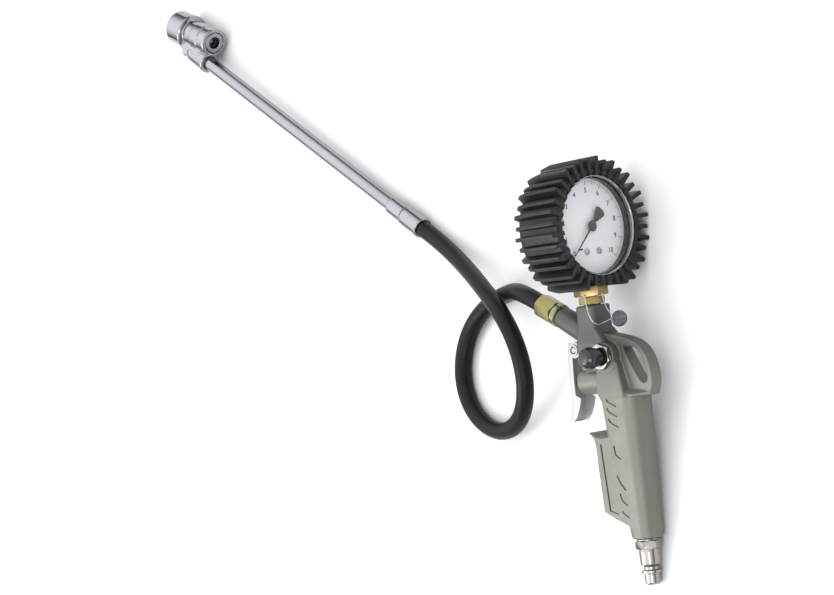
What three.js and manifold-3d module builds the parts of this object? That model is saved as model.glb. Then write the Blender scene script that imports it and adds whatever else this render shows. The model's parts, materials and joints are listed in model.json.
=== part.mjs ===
// Hand-held tyre inflator: a cast grip with a pressure gauge on top, a trigger
// valve, a release button, an inlet nipple, a short hose and an extension tube
// with a two-ended valve chuck. All sizes in millimetres.
//
// The gun is modelled in its own frame: x points to the rear (the side the dial
// faces), y points up along the gauge stem, z points to the gun's left side.
// The origin of that frame is the centre of the gauge opening. The whole gun is
// then laid on its right side on the plane z = 0, tipped by LIE degrees so that
// the gauge buffer and the nipple both touch the plane.
import * as THREE from 'three';
import { mergeVertices } from 'three/addons/utils/BufferGeometryUtils.js';
import Module from 'manifold-3d';

const wasm = await Module();
wasm.setup();

// ---------------------------------------------------------------- dimensions
const LIE = 9.76192;         // tip of the gun about x, degrees
const LIFT = 41.9;           // height of the gauge axis over the plane
const GAUGE_R = 31.2;        // gauge case, outer radius (63 mm gauge)
const FIN_LONG = [42.0, 39.6];   // rubber buffer over its long fins, front and rear
const FIN_SHORT = [40.4, 38.2];  // and over the short fins between them
const BUFFER_BASE_R = 35.2;  // between the fins
const BUFFER_OPEN_R = 31.3;  // front opening; the ribs reach further in, over the bezel
const BUFFER_DEPTH = 35.0;
const FINS = 36;
const STEM_X = -14.5;        // gauge stem, behind the dial opening
const TOWER = { half: 8.0, top: -47.3 };
const SPOUT_ANGLE = 29;      // above forward, degrees
const SPOUT_TIP = [-42.0, -52.4];
const SPOUT_R = 6.9;
const BOSS_Y = -93.3;        // valve boss axis
const BOSS_R = 8.3;
const BOSS_FRONT = -28.0;      // front of the valve cartridge's seat, the boss stands 0.5 proud of it
const BUTTON = [-0.6, -78.6]; // release button axis (x, y)
const PIVOT = [-28.6, -73.4]; // trigger pin axis (x, y)
const TRIGGER_HALF = 6.5;
const SHEET = 1.2;
const GRIP_BOTTOM = -189.5;
const GRIP_X = 8.0;          // inlet axis at the foot of the grip
const HOSE_R = 5.7;
const TUBE_R = 5.3;
const FOOT_A_R = 13.4;       // large barrel of the chuck
const FOOT_B_R = 10.8;       // small barrel
const CHUCK_HALF = 25.2;

// hose centreline, laid out on the plane (x, y, z), before the final centring
const HOSE = [[-58.71, -42.52, 34.58], [-62.20, -40.64, 34.84], [-69.41, -37.23, 34.57], [-81.05, -33.39, 31.25], [-92.74, -31.32, 25.61],
  [-104.47, -30.65, 19.48], [-116.26, -31.20, 14.43], [-128.14, -33.23, 10.91], [-139.51, -37.33, 8.75],
  [-149.61, -43.95, 7.45], [-157.45, -53.09, 6.66], [-162.29, -64.23, 6.17], [-163.64, -76.37, 5.90],
  [-161.37, -88.46, 5.78], [-155.72, -99.42, 5.75], [-147.19, -108.32, 5.91], [-136.53, -114.46, 6.60],
  [-124.71, -117.35, 8.16], [-112.75, -116.82, 10.72], [-101.72, -112.91, 14.19], [-92.55, -105.98, 18.29],
  [-86.05, -96.63, 22.61], [-82.75, -85.64, 26.66], [-82.92, -73.93, 29.93], [-86.42, -62.47, 31.96],
  [-92.72, -52.02, 32.47], [-101.00, -42.91, 31.48], [-110.45, -35.12, 29.22], [-120.39, -28.28, 26.02],
  [-130.47, -21.96, 22.33], [-140.59, -15.81, 18.61], [-150.77, -9.62, 15.20], [-161.07, -3.30, 12.31],
  [-171.48, 3.13, 10.03], [-181.97, 9.64, 8.45], [-192.45, 16.15, 7.70], [-202.78, 22.60, 7.90]];
const TUBE_END = [-447.77, 175.26, 12.5];   // where the tube enters the chuck boss
const CHUCK_MID = [-463.31, 199.50, 13.45]; // middle of the chuck barrels
const CHUCK_DIR = [0.91358, -0.40667, 0];   // barrel axis, towards the handle

// ------------------------------------------------------------------- helpers
const V = (x, y, z) => new THREE.Vector3(x, y, z);
const rad = THREE.MathUtils.degToRad;

function solid(geometry, matrix) {
  const g = geometry.index ? geometry.clone() : geometry.clone();
  for (const a of Object.keys(g.attributes)) if (a !== 'position') g.deleteAttribute(a);
  if (matrix) g.applyMatrix4(matrix);
  const m = mergeVertices(g, 1e-4);
  const tri = Uint32Array.from(m.index.array);
  if (matrix && matrix.determinant() < 0) for (let i = 0; i < tri.length; i += 3) { const t = tri[i]; tri[i] = tri[i + 1]; tri[i + 1] = t; }
  return new wasm.Manifold(new wasm.Mesh({ numProp: 3, vertProperties: Float32Array.from(m.attributes.position.array), triVerts: tri }));
}

// matrix that takes +Y to dir and the origin to pos
function along(pos, dir, spin = 0) {
  const d = V(...dir).normalize();
  const q = new THREE.Quaternion().setFromUnitVectors(V(0, 1, 0), d);
  const s = new THREE.Quaternion().setFromAxisAngle(V(0, 1, 0), spin);
  return new THREE.Matrix4().compose(V(...pos), q.multiply(s), V(1, 1, 1));
}

// body of revolution: profile of [radius, height] pairs about +Y, moved to pos and turned to dir
function turned(profile, pos, dir, segs = 32) {
  const closed = !(profile[0][0] < 1e-6 && profile[profile.length - 1][0] < 1e-6);
  let pts = profile.map(p => new THREE.Vector2(p[0], p[1]));
  let area = 0;
  for (let i = 0; i < pts.length; i++) { const a = pts[i], b = pts[(i + 1) % pts.length]; area += a.x * b.y - b.x * a.y; }
  if (area < 0) pts = pts.reverse();
  if (closed) pts.push(pts[0].clone());
  return solid(new THREE.LatheGeometry(pts, segs), along(pos, dir));
}
const rod = (r, h0, h1, pos, dir, segs = 24) => turned([[0, h0], [r, h0], [r, h1], [0, h1]], pos, dir, segs);
const ring = (ri, ro, h0, h1, pos, dir, segs = 32) => turned([[ri, h0], [ro, h0], [ro, h1], [ri, h1]], pos, dir, segs);

// prism with six flats, af across flats
function hex(af, h0, h1, pos, dir, spin = 0, chamfer = 0.6) {
  const R = af / Math.sqrt(3);
  const p = [[0, h0], [R, h0], [R, h1], [0, h1]].map(q => new THREE.Vector2(q[0], q[1]));
  const body = solid(new THREE.LatheGeometry(p, 6), along(pos, dir, spin));
  if (!chamfer) return body;
  const c = chamfer, k = R + 0.05;
  const cone = turned([[0, h0], [R - c, h0], [k, h0 + c * 0.7], [k, h1 - c * 0.7], [R - c, h1], [0, h1]], pos, dir, 18);
  return body.intersect(cone);
}

// plate: outline of [x, y] pairs, from z0 to z1, with optional holes
function plate(outline, z0, z1, holes = [], bevel = 0) {
  const s = new THREE.Shape(outline.map(p => new THREE.Vector2(p[0], p[1])));
  const g = new THREE.ExtrudeGeometry(s, bevel
    ? { depth: z1 - z0 - 2 * bevel, bevelEnabled: true, bevelThickness: bevel, bevelSize: bevel, bevelOffset: -bevel, bevelSegments: 1, steps: 1 }
    : { depth: z1 - z0, bevelEnabled: false, steps: 1 });
  g.translate(0, 0, z0 + (bevel || 0));
  let b = solid(g);
  for (const h of holes) {
    const hs = new THREE.ExtrudeGeometry(new THREE.Shape(h.map(p => new THREE.Vector2(p[0], p[1]))), { depth: z1 - z0 + 2, bevelEnabled: false, steps: 1 });
    hs.translate(0, 0, z0 - 1);
    b = b.subtract(solid(hs));
  }
  return b;
}

// prism whose outline changes from layer to layer; every outline has the same number of points
function layered(outlines, zs) {
  const base = outlines[0], n = outlines.length - 1;
  const g = new THREE.ExtrudeGeometry(new THREE.Shape(base.map(p => new THREE.Vector2(p[0], p[1]))), { depth: n, steps: n, bevelEnabled: false });
  const p = g.attributes.position;
  for (let i = 0; i < p.count; i++) {
    let k = 0, best = 1e9;
    base.forEach((q, j) => { const d = Math.hypot(q[0] - p.getX(i), q[1] - p.getY(i)); if (d < best) { best = d; k = j; } });
    const l = Math.round(p.getZ(i));
    p.setXYZ(i, outlines[l][k][0], outlines[l][k][1], zs[l]);
  }
  return solid(g);
}

function circle(cx, cy, r, n = 24, a0 = 0, a1 = 2 * Math.PI) {
  const out = [];
  const full = Math.abs(a1 - a0 - 2 * Math.PI) < 1e-9;
  for (let i = 0; i < n + (full ? 0 : 1); i++) { const a = a0 + (a1 - a0) * i / n; out.push([cx + r * Math.cos(a), cy + r * Math.sin(a)]); }
  return out;
}

// rounded rectangle in (x, z): front at xf, back at xb, half width w, front and rear corner radii
function section(xf, xb, w, rf, rb) {
  const out = [];
  const arc = (cx, cz, r, a0, a1, n) => { for (let i = 0; i <= n; i++) { const a = rad(a0 + (a1 - a0) * i / n); out.push([cx + r * Math.cos(a), cz + r * Math.sin(a)]); } };
  arc(xb - rb, w - rb, rb, 90, 0, 5);
  arc(xb - rb, -w + rb, rb, 0, -90, 5);
  arc(xf + rf, -w + rf, rf, -90, -180, 3);
  arc(xf + rf, w - rf, rf, 180, 90, 3);
  return out;
}

// tube along points: an extruded round section
function tube(points, r, sides, steps, closed = false) {
  const curve = new THREE.CatmullRomCurve3(points.map(p => V(...p)), closed, 'centripetal');
  const s = new THREE.Shape(circle(0, 0, r, sides).map(p => new THREE.Vector2(p[0], p[1])));
  return solid(new THREE.ExtrudeGeometry(s, { steps, extrudePath: curve, bevelEnabled: false, curveSegments: sides }));
}

// coil spring along +Y, then placed
function spring(rm, rw, h0, h1, turns, pos, dir, sides = 5, perTurn = 8) {
  const pts = [];
  const n = turns * perTurn;
  for (let i = 0; i <= n; i++) { const a = 2 * Math.PI * i / perTurn; pts.push(V(rm * Math.cos(a), h0 + (h1 - h0) * i / n, rm * Math.sin(a))); }
  const curve = new THREE.CatmullRomCurve3(pts);
  const s = new THREE.Shape(circle(0, 0, rw, sides).map(p => new THREE.Vector2(p[0], p[1])));
  return solid(new THREE.ExtrudeGeometry(s, { steps: n, extrudePath: curve, bevelEnabled: false }), along(pos, dir));
}

const all = (...m) => m.reduce((a, b) => a.add(b));

// ----------------------------------------------------------------- materials
const MAT = {
  cast: [0x8a8b80, 0.48, 0.35], rubber: [0x1b1c1d, 0.78, 0], hose: [0x1d1e1f, 0.62, 0], black: [0x1a1b1f, 0.35, 0],
  chrome: [0xd4d8dc, 0.12, 1], nickel: [0xbdb8ae, 0.25, 1], steel: [0x9fa3a8, 0.35, 1], zinc: [0xc9b25a, 0.3, 0.9],
  olive: [0x8f9463, 0.35, 0.9], brass: [0xb99a4e, 0.3, 1], dial: [0xe9eaee, 0.5, 0], lens: [0xeef4f8, 0.05, 0],
  lead: [0x6f7178, 0.45, 0.8], wire: [0xb8b9bb, 0.3, 1], ink: [0x141416, 0.5, 0], copper: [0xb07048, 0.35, 1],
};
const material = key => new THREE.MeshStandardMaterial({ color: MAT[key][0], roughness: MAT[key][1], metalness: MAT[key][2] });

const gun = new THREE.Group();      // in the gun's own frame
const lying = new THREE.Group();    // laid out on the plane
const root = new THREE.Group();
function put(parent, name, body, key) {
  const mm = body.getMesh();
  const g = new THREE.BufferGeometry();
  g.setAttribute('position', new THREE.BufferAttribute(Float32Array.from(mm.vertProperties), 3));
  g.setIndex(new THREE.BufferAttribute(Uint32Array.from(mm.triVerts), 1));
  g.computeVertexNormals();
  const mesh = new THREE.Mesh(g, material(key));
  mesh.name = name;
  parent.add(mesh);
  return mesh;
}

// ================================================================== gun body
const sa = rad(SPOUT_ANGLE);
const SP = [-Math.cos(sa), Math.sin(sa), 0];
const spoutAt = s => [SPOUT_TIP[0] + SP[0] * s, SPOUT_TIP[1] + SP[1] * s, 0];
const X = [1, 0, 0], XN = [-1, 0, 0], Y = [0, 1, 0], YN = [0, -1, 0], Z = [0, 0, 1];

// pistol grip: a rounded section that narrows towards the foot, with a sloping shoulder at its top
const topY = -98.5;
const gripT = y => (y - topY) / (GRIP_BOTTOM - topY);
const gripFront = t => -6.5 + 6.2 * Math.max(0, t - 0.29) / 0.71, gripBack = t => 20.2 - t * 2.8, gripHalf = t => 12.0 - t * 2.7;
const gripLevel = t => section(gripFront(t), gripBack(t), gripHalf(t), 2.5 + 5.0 * t, 0.86 * gripHalf(t));
// column along y: every level is a section in (x, z), given from the lowest y upwards
const column = (sections, ys) => layered(sections, ys).rotate([-90, 0, 0]);
let body = column([gripLevel(1), gripLevel(0.76), gripLevel(0.53), gripLevel(0.29), gripLevel(0.06), section(-6.5, 19.0, 4.6, 1.6, 3.8)],
  [1, 0.76, 0.53, 0.29, 0.06].map(t => topY + t * (GRIP_BOTTOM - topY)).concat([-100.3]));
if (body.volume() < 0) throw new Error('grip turned inside out');

// front skirt with the pointed finger stop, level with the sides of the grip
const skirtOutline = [[-21.4, -123.5], [-19.2, -125.6], [-17.0, -128.2], [-16.3, -131.5], [-16.2, -134.0], [-16.6, -148.9],
  [-16.7, -169.3], [-16.4, -172.7], [-8.7, -176.5], [4.0, -182.0], [6.0, -182.0], [6.0, -127.0], [-7.6, -127.3], [-11.2, -127.5], [-14.7, -126.7], [-18.5, -124.7]];
// side face of grip and skirt as one sloping plane
const sideAt = (x, y) => gripHalf(gripT(y)) - 0.02 - (x < -6.5 ? 0.045 * (-6.5 - x) : 0);
const skirtSide = (x, y) => gripHalf(gripT(y)) - 0.02 - 0.023 * (6.0 - x);
// outline drawn on the side of the grip, from depth in to depth out of its side face
function onSide(outline, inner, outerZ, at) {
  const g = new THREE.ExtrudeGeometry(new THREE.Shape(outline.map(p => new THREE.Vector2(p[0], p[1]))), { depth: 2, steps: 1, bevelEnabled: false });
  const p = g.attributes.position;
  for (let i = 0; i < p.count; i++) p.setZ(i, p.getZ(i) > 1 ? outerZ(p.getX(i), p.getY(i)) : inner(p.getX(i), p.getY(i)));
  return solid(g);
}
body = body.add(onSide(skirtOutline, (x, y) => -skirtSide(x, y), (x, y) => skirtSide(x, y)));

// hanging hook: a thinner plate behind the tower with a slanted eye
const hookOutline = [[-12.0, -60.0], [-5.0, -64.8], [4.0, -66.2], [13.0, -68.6], [21.0, -71.9], [26.4, -76.6], [29.6, -82.6],
  [31.2, -90.0], [31.0, -96.5], [29.4, -101.0], [26.6, -103.6], [18.0, -106.0], [4.0, -106.0], [-6.0, -90.0]];
const eyeHole = [[10.4, -75.0], [12.6, -74.2], [18.6, -74.6], [22.4, -76.8], [25.6, -82.4], [27.6, -90.0], [27.4, -94.6], [25.2, -96.4], [21.9, -95.3], [16.2, -86.1]];
body = body.add(plate(hookOutline, -4.4, 4.4, [eyeHole], 0.8));

// middle block under the tower, and the head that widens from it into the grip
body = body.add(column([section(-20.5, 9.0, 9.6, 1.6, 1.8), section(-21.8, 8.6, 9.6, 1.6, 1.8), section(-22.8, 5.4, 9.6, 1.6, 1.8), section(-22.9, 0.5, 9.6, 1.6, 1.8), section(-22.6, -6.4, 8.2, 1.6, 1.8)],
  [-86.5, -83.7, -78.5, -70.2, -61.5]));
body = body.add(column([section(-6.4, 13.2, 11.75, 1.6, 1.8), section(-9.0, 12.9, 11.6, 1.6, 1.8), section(-9.0, 10.3, 10.4, 1.6, 1.8), section(-9.0, 8.6, 9.55, 1.6, 1.8)],
  [-105.0, -100.4, -90.7, -83.7]));
// facets that run from the grip shoulder up to the hook plate
{
  const low = [[2.0, -92.0], [12.2, -98.6], [29.2, -101.9], [28.4, -104.2], [2.0, -104.2]];
  const high = [[2.0, -95.5], [9.4, -101.6], [18.4, -102.8], [18.4, -103.8], [2.0, -103.8]];
  body = body.add(layered([high, low, low, high], [-9.6, -4.2, 4.2, 9.6]));
}
// tower for the gauge stem
body = body.add(plate([[STEM_X - TOWER.half, -78], [STEM_X + TOWER.half, -78], [STEM_X + TOWER.half, TOWER.top], [STEM_X - TOWER.half, TOWER.top]], -TOWER.half, TOWER.half)
  .intersect(turned([[0, -80], [9.6, -80], [9.6, TOWER.top - 0.8], [8.9, TOWER.top], [0, TOWER.top]], [STEM_X, 0, 0], Y, 20)));
// outlet spout
body = body.add(turned([[0, 0], [SPOUT_R - 0.5, 0], [SPOUT_R, -0.7], [SPOUT_R + 0.8, -30], [0, -30]], spoutAt(0), SP, 24));
// valve boss and its root
body = body.add(turned([[0, 0.5], [BOSS_R - 1.2, 0.5], [BOSS_R, -0.8], [BOSS_R, -30], [0, -30]], [BOSS_FRONT, BOSS_Y, 0], XN, 24));
// lug between the trigger's cheeks
body = body.add(plate([...circle(PIVOT[0], PIVOT[1], 4.0, 10, rad(90), rad(270)), [-22.0, -79.0], [-20.0, -66.5], [-24.0, -66.0]], -4.9, 4.9));
// round pad for the release valve, on the left side
body = body.add(rod(8.4, 2, 10.6, [BUTTON[0], BUTTON[1], 0], Z, 20));

// passages: outlet, gauge, valve chamber, inlet, release
body = body.subtract(rod(3.0, -34, 0.5, spoutAt(0), SP, 16).add(rod(4.6, -13.2, 0.5, spoutAt(0), SP, 20)));
body = body.subtract(rod(3.0, 0, 50, [STEM_X, BOSS_Y, 0], Y, 16).add(rod(5.3, -58.5, -46, [STEM_X, 0, 0], Y, 20)));
body = body.subtract(rod(5.8, -2, 20.4, [BOSS_FRONT, BOSS_Y, 0], X, 20).add(rod(5.0, 20, 40, [BOSS_FRONT, BOSS_Y, 0], X, 20)));
body = body.subtract(rod(4.2, 0, 100, [GRIP_X, -190.5, 0], Y, 20).add(rod(5.5, -1, 14.5, [GRIP_X, -190.5, 0], Y, 20)));
body = body.subtract(rod(4.3, -5.8, 12, [BUTTON[0], BUTTON[1], 0], Z, 20).add(rod(6.3, 5.2, 12, [BUTTON[0], BUTTON[1], 0], Z, 20)));
body = body.subtract(rod(1.6, -14.5, 0.5, [BUTTON[0], BUTTON[1], -2], X, 12));
body = body.subtract(rod(2.3, -6, 6, [PIVOT[0], PIVOT[1], 0], Z, 20));
// engraved marks on both sides of the grip: hooked grooves and a bare badge recess between them
const stroke = (pts, w) => {   // outline of a bent line of width w
  const left = [], right = [];
  pts.forEach((p, i) => {
    const a = pts[Math.max(0, i - 1)], b = pts[Math.min(pts.length - 1, i + 1)];
    const l = Math.hypot(b[0] - a[0], b[1] - a[1]), n = [-(b[1] - a[1]) / l, (b[0] - a[0]) / l];
    left.push([p[0] + n[0] * w / 2, p[1] + n[1] * w / 2]); right.push([p[0] - n[0] * w / 2, p[1] - n[1] * w / 2]);
  });
  return [...left, ...right.reverse()];
};
const MARKS = [
  [[-1.0, -104.4], [-0.3, -105.6], [6.5, -108.8]], [[-1.8, -109.7], [0.1, -112.1], [6.2, -115.0]], [[-1.5, -116.1], [0.1, -118.4], [6.2, -121.4]],
  [[-0.2, -132.4], [0.5, -138.1], [4.0, -140.6]], [[-1.1, -150.5], [0.9, -155.0], [4.7, -159.5]], [[-0.7, -161.4], [0.3, -165.5], [4.4, -168.8]], [[-0.9, -172.3], [1.0, -173.9], [4.1, -176.0]]];
const BADGE = [[-12.1, -131.2], [-3.3, -131.5], [-4.4, -174.3], [-11.7, -172.2]];
for (const [o, deep] of [...MARKS.map(m => [stroke(m, 1.4), 0.7]), [BADGE, 0.8]]) {
  body = body.subtract(onSide(o, (x, y) => sideAt(x, y) - deep, (x, y) => sideAt(x, y) + 2));
  body = body.subtract(onSide(o, (x, y) => -sideAt(x, y) - 2, (x, y) => -sideAt(x, y) + deep));
}
put(gun, 'gun_body', body, 'cast');

// ============================================================== inlet nipple
const inl = [GRIP_X, 0, 0];
let plug = all(rod(5.1, -190.2, -178.0, inl, Y, 20), hex(14, -196.0, -190.95, inl, Y, rad(15)),
  turned([[0, -217.5], [4.3, -217.5], [4.9, -216.6], [4.9, -210.6], [6.3, -210.5], [6.3, -208.9], [4.8, -208.4], [4.8, -206.6], [6.5, -205.2], [6.6, -197.2], [6.1, -195.9], [0, -195.9]], inl, Y, 20),
  rod(5.0, -191.2, -189.8, inl, Y, 20));
plug = plug.subtract(rod(3.0, -218, -177, inl, Y, 16));
put(gun, 'inlet_nipple', plug, 'nickel');
put(gun, 'inlet_washer', ring(5.45, 7.2, -190.65, -189.8, inl, Y, 20), 'copper');

// ==================================================================== trigger
const front = [[-33.3, -68.2], [-34.4, -74.0], [-35.2, -82.0], [-35.6, -90.0], [-36.1, -104.0], [-37.9, -111.5], [-40.6, -117.0]];
const rear = [[-36.8, -117.6], [-32.6, -113.8], [-29.0, -107.0], [-27.8, -103.2], [-31.9, -101.0], [-31.9, -95.0], [-31.5, -86.0], [-30.9, -79.6]];
const eye = circle(PIVOT[0], PIVOT[1], 5.0, 9, rad(-118), rad(128));
const outer = [...front, ...rear, ...eye];
let trig = plate(outer, -TRIGGER_HALF, TRIGGER_HALF);
const inside = [...front.map(p => [p[0] + SHEET, p[1] + (p[1] < -110 ? 0.4 : 0)]), [-36.0, -121], [-18, -121], [-18, -62], [-31.6, -62]];
trig = trig.subtract(plate(inside, -TRIGGER_HALF + SHEET, TRIGGER_HALF - SHEET));
trig = trig.subtract(rod(2.3, -9, 9, [PIVOT[0], PIVOT[1], 0], Z, 20));
put(gun, 'trigger', trig, 'chrome');
put(gun, 'trigger_pin', turned([[0, -7.3], [1.5, -7.3], [2.0, -6.9], [2.0, 6.9], [1.5, 7.3], [0, 7.3]], [PIVOT[0], PIVOT[1], 0], Z, 20), 'steel');
put(gun, 'trigger_pin_clip', ring(2.3, 3.6, 6.8, 7.3, [PIVOT[0], PIVOT[1], 0], Z, 20), 'steel');

// ================================================================ main valve
const vb = [BOSS_FRONT, BOSS_Y, 0];   // +X runs into the body
put(gun, 'valve_cartridge', turned([[2.3, -0.4], [5.2, -0.4], [5.5, 0.0], [5.5, 9.4], [3.9, 9.6], [3.9, 17.0], [5.5, 17.2], [5.5, 20.0], [3.4, 20.0], [3.0, 18.4], [2.9, 8.6], [2.3, 8.4], [2.3, 5.6], [3.2, 5.6], [3.2, 3.6], [2.3, 3.6]], vb, X, 18)
  .subtract(rod(1.4, -8, 8, [BOSS_FRONT + 13.5, BOSS_Y, 0], Y, 12)), 'brass');
put(gun, 'valve_stem_seal', turned([[2.25, 4.0], [2.9, 4.0], [2.9, 5.2], [2.25, 5.2]], vb, X, 20), 'rubber');
put(gun, 'valve_stem', turned([[0, -5.9], [1.3, -5.9], [1.95, -5.2], [1.95, 20.6], [3.6, 20.6], [3.6, 21.8], [1.2, 21.8], [1.2, 26.0], [0, 26.0]], vb, X, 20), 'steel');
put(gun, 'valve_poppet', ring(1.5, 4.5, 22.1, 24.3, vb, X, 20), 'rubber');
put(gun, 'valve_spring', spring(3.2, 0.4, 25.2, 38.6, 5, vb, X), 'steel');

// ============================================================= release valve
const rb = [BUTTON[0], BUTTON[1], 0];
put(gun, 'release_bush', hex(14.4, 10.95, 14.2, rb, Z, rad(10)).add(rod(6.0, 6.6, 11.2, rb, Z, 20))
  .subtract(rod(5.0, 6, 15, rb, Z, 20)), 'nickel');
put(gun, 'release_button', turned([[0, 9.4], [4.3, 9.4], [4.6, 9.8], [4.6, 16.7], [5.8, 17.1], [5.8, 19.4], [6.75, 21.6], [6.75, 22.8], [6.4, 25.0], [5.0, 26.8], [2.8, 27.7], [0, 28.0]], rb, Z, 32)
  .subtract(rod(1.9, 9, 16, rb, Z, 16)), 'black');
put(gun, 'release_seat', ring(1.9, 4.0, 1.2, 3.4, rb, Z, 20), 'brass');
put(gun, 'release_stem', turned([[0, -2.6], [3.0, -2.6], [3.0, -1.8], [1.55, -1.8], [1.55, 15.4], [0, 15.4]], rb, Z, 20), 'steel');
put(gun, 'release_seal', ring(1.85, 3.6, -1.5, 0.9, rb, Z, 20), 'rubber');
put(gun, 'release_spring', spring(2.9, 0.35, 4.2, 8.6, 3, rb, Z), 'steel');

// ====================================================== outlet and gun ferrule
put(gun, 'hose_nut', turned([[0, -12.6], [4.3, -12.6], [4.3, 0.3], [7.2, 0.3], [7.45, 0.8], [7.45, 4.2], [7.0, 4.7], [5.0, 4.7], [5.0, 5.0], [3.0, 5.0], [3.0, 17.6], [0, 17.6]], spoutAt(0), SP, 24)
  .subtract(rod(2.0, -13, 18, spoutAt(0), SP, 14)), 'olive');
put(gun, 'hose_ferrule', hex(13.2, 5.3, 18.4, spoutAt(0), SP, rad(12), 0.7)
  .subtract(rod(3.3, 5, 19, spoutAt(0), SP, 20)), 'zinc');

// ====================================================================== gauge
const gx = [0, 0, 0];
const stem = [STEM_X, 0, 0];
put(gun, 'gauge_socket', all(
  plate([[STEM_X - 6, -29.0], [STEM_X + 2.0, -29.0], [STEM_X + 2.0, -22.5], [STEM_X - 6, -22.5]], -6, 6),
  plate([[STEM_X - 13.4, -26.0], [STEM_X - 4, -26.0], [STEM_X - 4, -17.2], [STEM_X - 13.4, -17.2]], -4.5, 4.5),
  rod(5.6, -36, -30.0, stem, Y, 20), rod(4.5, -31, -28, stem, Y, 20), hex(18.4, -41.9, -35.2, stem, Y, rad(8), 0.9))
  .subtract(rod(1.6, -43, -24, stem, Y, 14).add(rod(3.4, -43, -36.5, stem, Y, 18))), 'brass');
put(gun, 'gauge_adaptor', all(rod(3.1, -43, -37.0, stem, Y, 18), hex(13.8, -46.9, -42.2, stem, Y, rad(20), 0.6), rod(5.0, -57.8, -46.5, stem, Y, 20))
  .subtract(rod(1.6, -58.5, -36, stem, Y, 14)), 'brass');
put(gun, 'gauge_case', turned([[GAUGE_R, -31.5], [GAUGE_R, -6.2], [GAUGE_R - 1.1, -6.2], [GAUGE_R - 1.1, -30.4], [4.0, -30.4], [4.0, -31.5]], gx, X, 40)
  .subtract(rod(6.0, -34, -26, stem, Y, 20)), 'ink');
put(gun, 'gauge_bezel', turned([[29.3, -1.35], [29.9, -0.75], [30.35, -0.75], [31.0, -1.7], [31.35, -2.6], [31.35, -5.9], [29.8, -5.9], [29.8, -2.6], [29.3, -2.4]], gx, X, 48), 'black');
put(gun, 'gauge_lens', turned([[0, -4.1], [29.5, -4.1], [29.5, -2.9], [0, -2.9]], gx, X, 48), 'lens');
put(gun, 'lens_gasket', turned([[28.9, -8.3], [29.7, -8.3], [29.7, -4.4], [28.9, -4.4]], gx, X, 40), 'black');
const dx = { 1: [-15.2, 5.2], 2: [-15.2, -5.2] };   // dial screws (y, z)
let dial = rod(29.6, -9.5, -8.6, gx, X, 48).subtract(rod(1.3, -10, -8, gx, X, 14));
for (const k of [1, 2]) dial = dial.subtract(rod(1.5, -10, -8, [0, dx[k][0], dx[k][1]], X, 12));
put(gun, 'gauge_dial', dial, 'dial');
for (const [k, n] of [[1, 'dial_screw_left'], [2, 'dial_screw_right']])
  put(gun, n, turned([[0, -14], [1.1, -14], [1.1, -8.3], [2.0, -8.3], [2.0, -7.7], [1.6, -7.4], [0, -7.4]], [0, dx[k][0], dx[k][1]], X, 14), 'steel');
// pointer: slim tail towards zero (lower left), wedge counterweight opposite
const pa = rad(225);   // in the dial plane, measured from the viewer's right, anticlockwise
const toYZ = (r, w) => { // r along the pointer, w across it -> [y, z]
  const c = Math.cos(pa), s = Math.sin(pa); const right = r * c - w * s, up = r * s + w * c; return [up, -right];
};
function inDial(outline, x0, x1) { // outline in (r, w)
  // +1: build in (z', y) and turn onto the dial plane
  const pts = outline.map(p => toYZ(p[0], p[1])).map(q => [q[1], q[0]]);   // (z, y)
  const b = plate(pts.map(q => [-q[0], q[1]]), 0, x1 - x0);                // (-z, y, t)
  const m = new THREE.Matrix4().set(0, 0, 1, x0, 0, 1, 0, 0, -1, 0, 0, 0, 0, 0, 0, 1);
  const g = b.getMesh(); const bg = new THREE.BufferGeometry();
  bg.setAttribute('position', new THREE.BufferAttribute(Float32Array.from(g.vertProperties), 3));
  bg.setIndex(new THREE.BufferAttribute(Uint32Array.from(g.triVerts), 1));
  return solid(bg, m);
}
put(gun, 'pointer', inDial([[24.0, 0.2], [3.0, 0.75], [-5.0, 1.3], [-12.2, 3.6], [-13.4, 1.9], [-13.8, 0], [-13.4, -1.9], [-12.2, -3.6], [-5.0, -1.3], [3.0, -0.75], [24.0, -0.2]], -6.9, -6.3)
  .add(rod(3.4, -7.4, -5.6, gx, X, 20)).subtract(rod(1.15, -8, -6.4, gx, X, 14)), 'ink');
put(gun, 'zero_stop_pin', (() => { const q = toYZ(17.5, 1.6); return rod(0.55, -8.3, -5.8, [0, q[0], q[1]], X, 10); })(), 'ink');
// movement: arbor with pinion, toothed sector, two plates, two pillars, Bourdon tube and its link
const PIN_R = 1.6, SEC_R = 12.8, TEETH = 8;
function gearOutline(R, teethFull, first, count, add, ded, phase, full) {
  const o = []; const st = 2 * Math.PI / teethFull;
  for (let i = first; i < first + count; i++) {
    const a = phase + i * st;
    o.push([(R - ded), a - 0.34 * st], [(R + add), a - 0.11 * st], [(R + add), a + 0.11 * st], [(R - ded), a + 0.34 * st]);
  }
  return o.map(p => [p[0] * Math.cos(p[1]), p[0] * Math.sin(p[1])]);
}
const secPivot = [-11.4, -8.8];   // (y, z), SEC_R + PIN_R from the arbor
const secDir = Math.atan2(-secPivot[0], -secPivot[1]);   // in (z, y), from the sector pivot to the arbor
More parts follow.
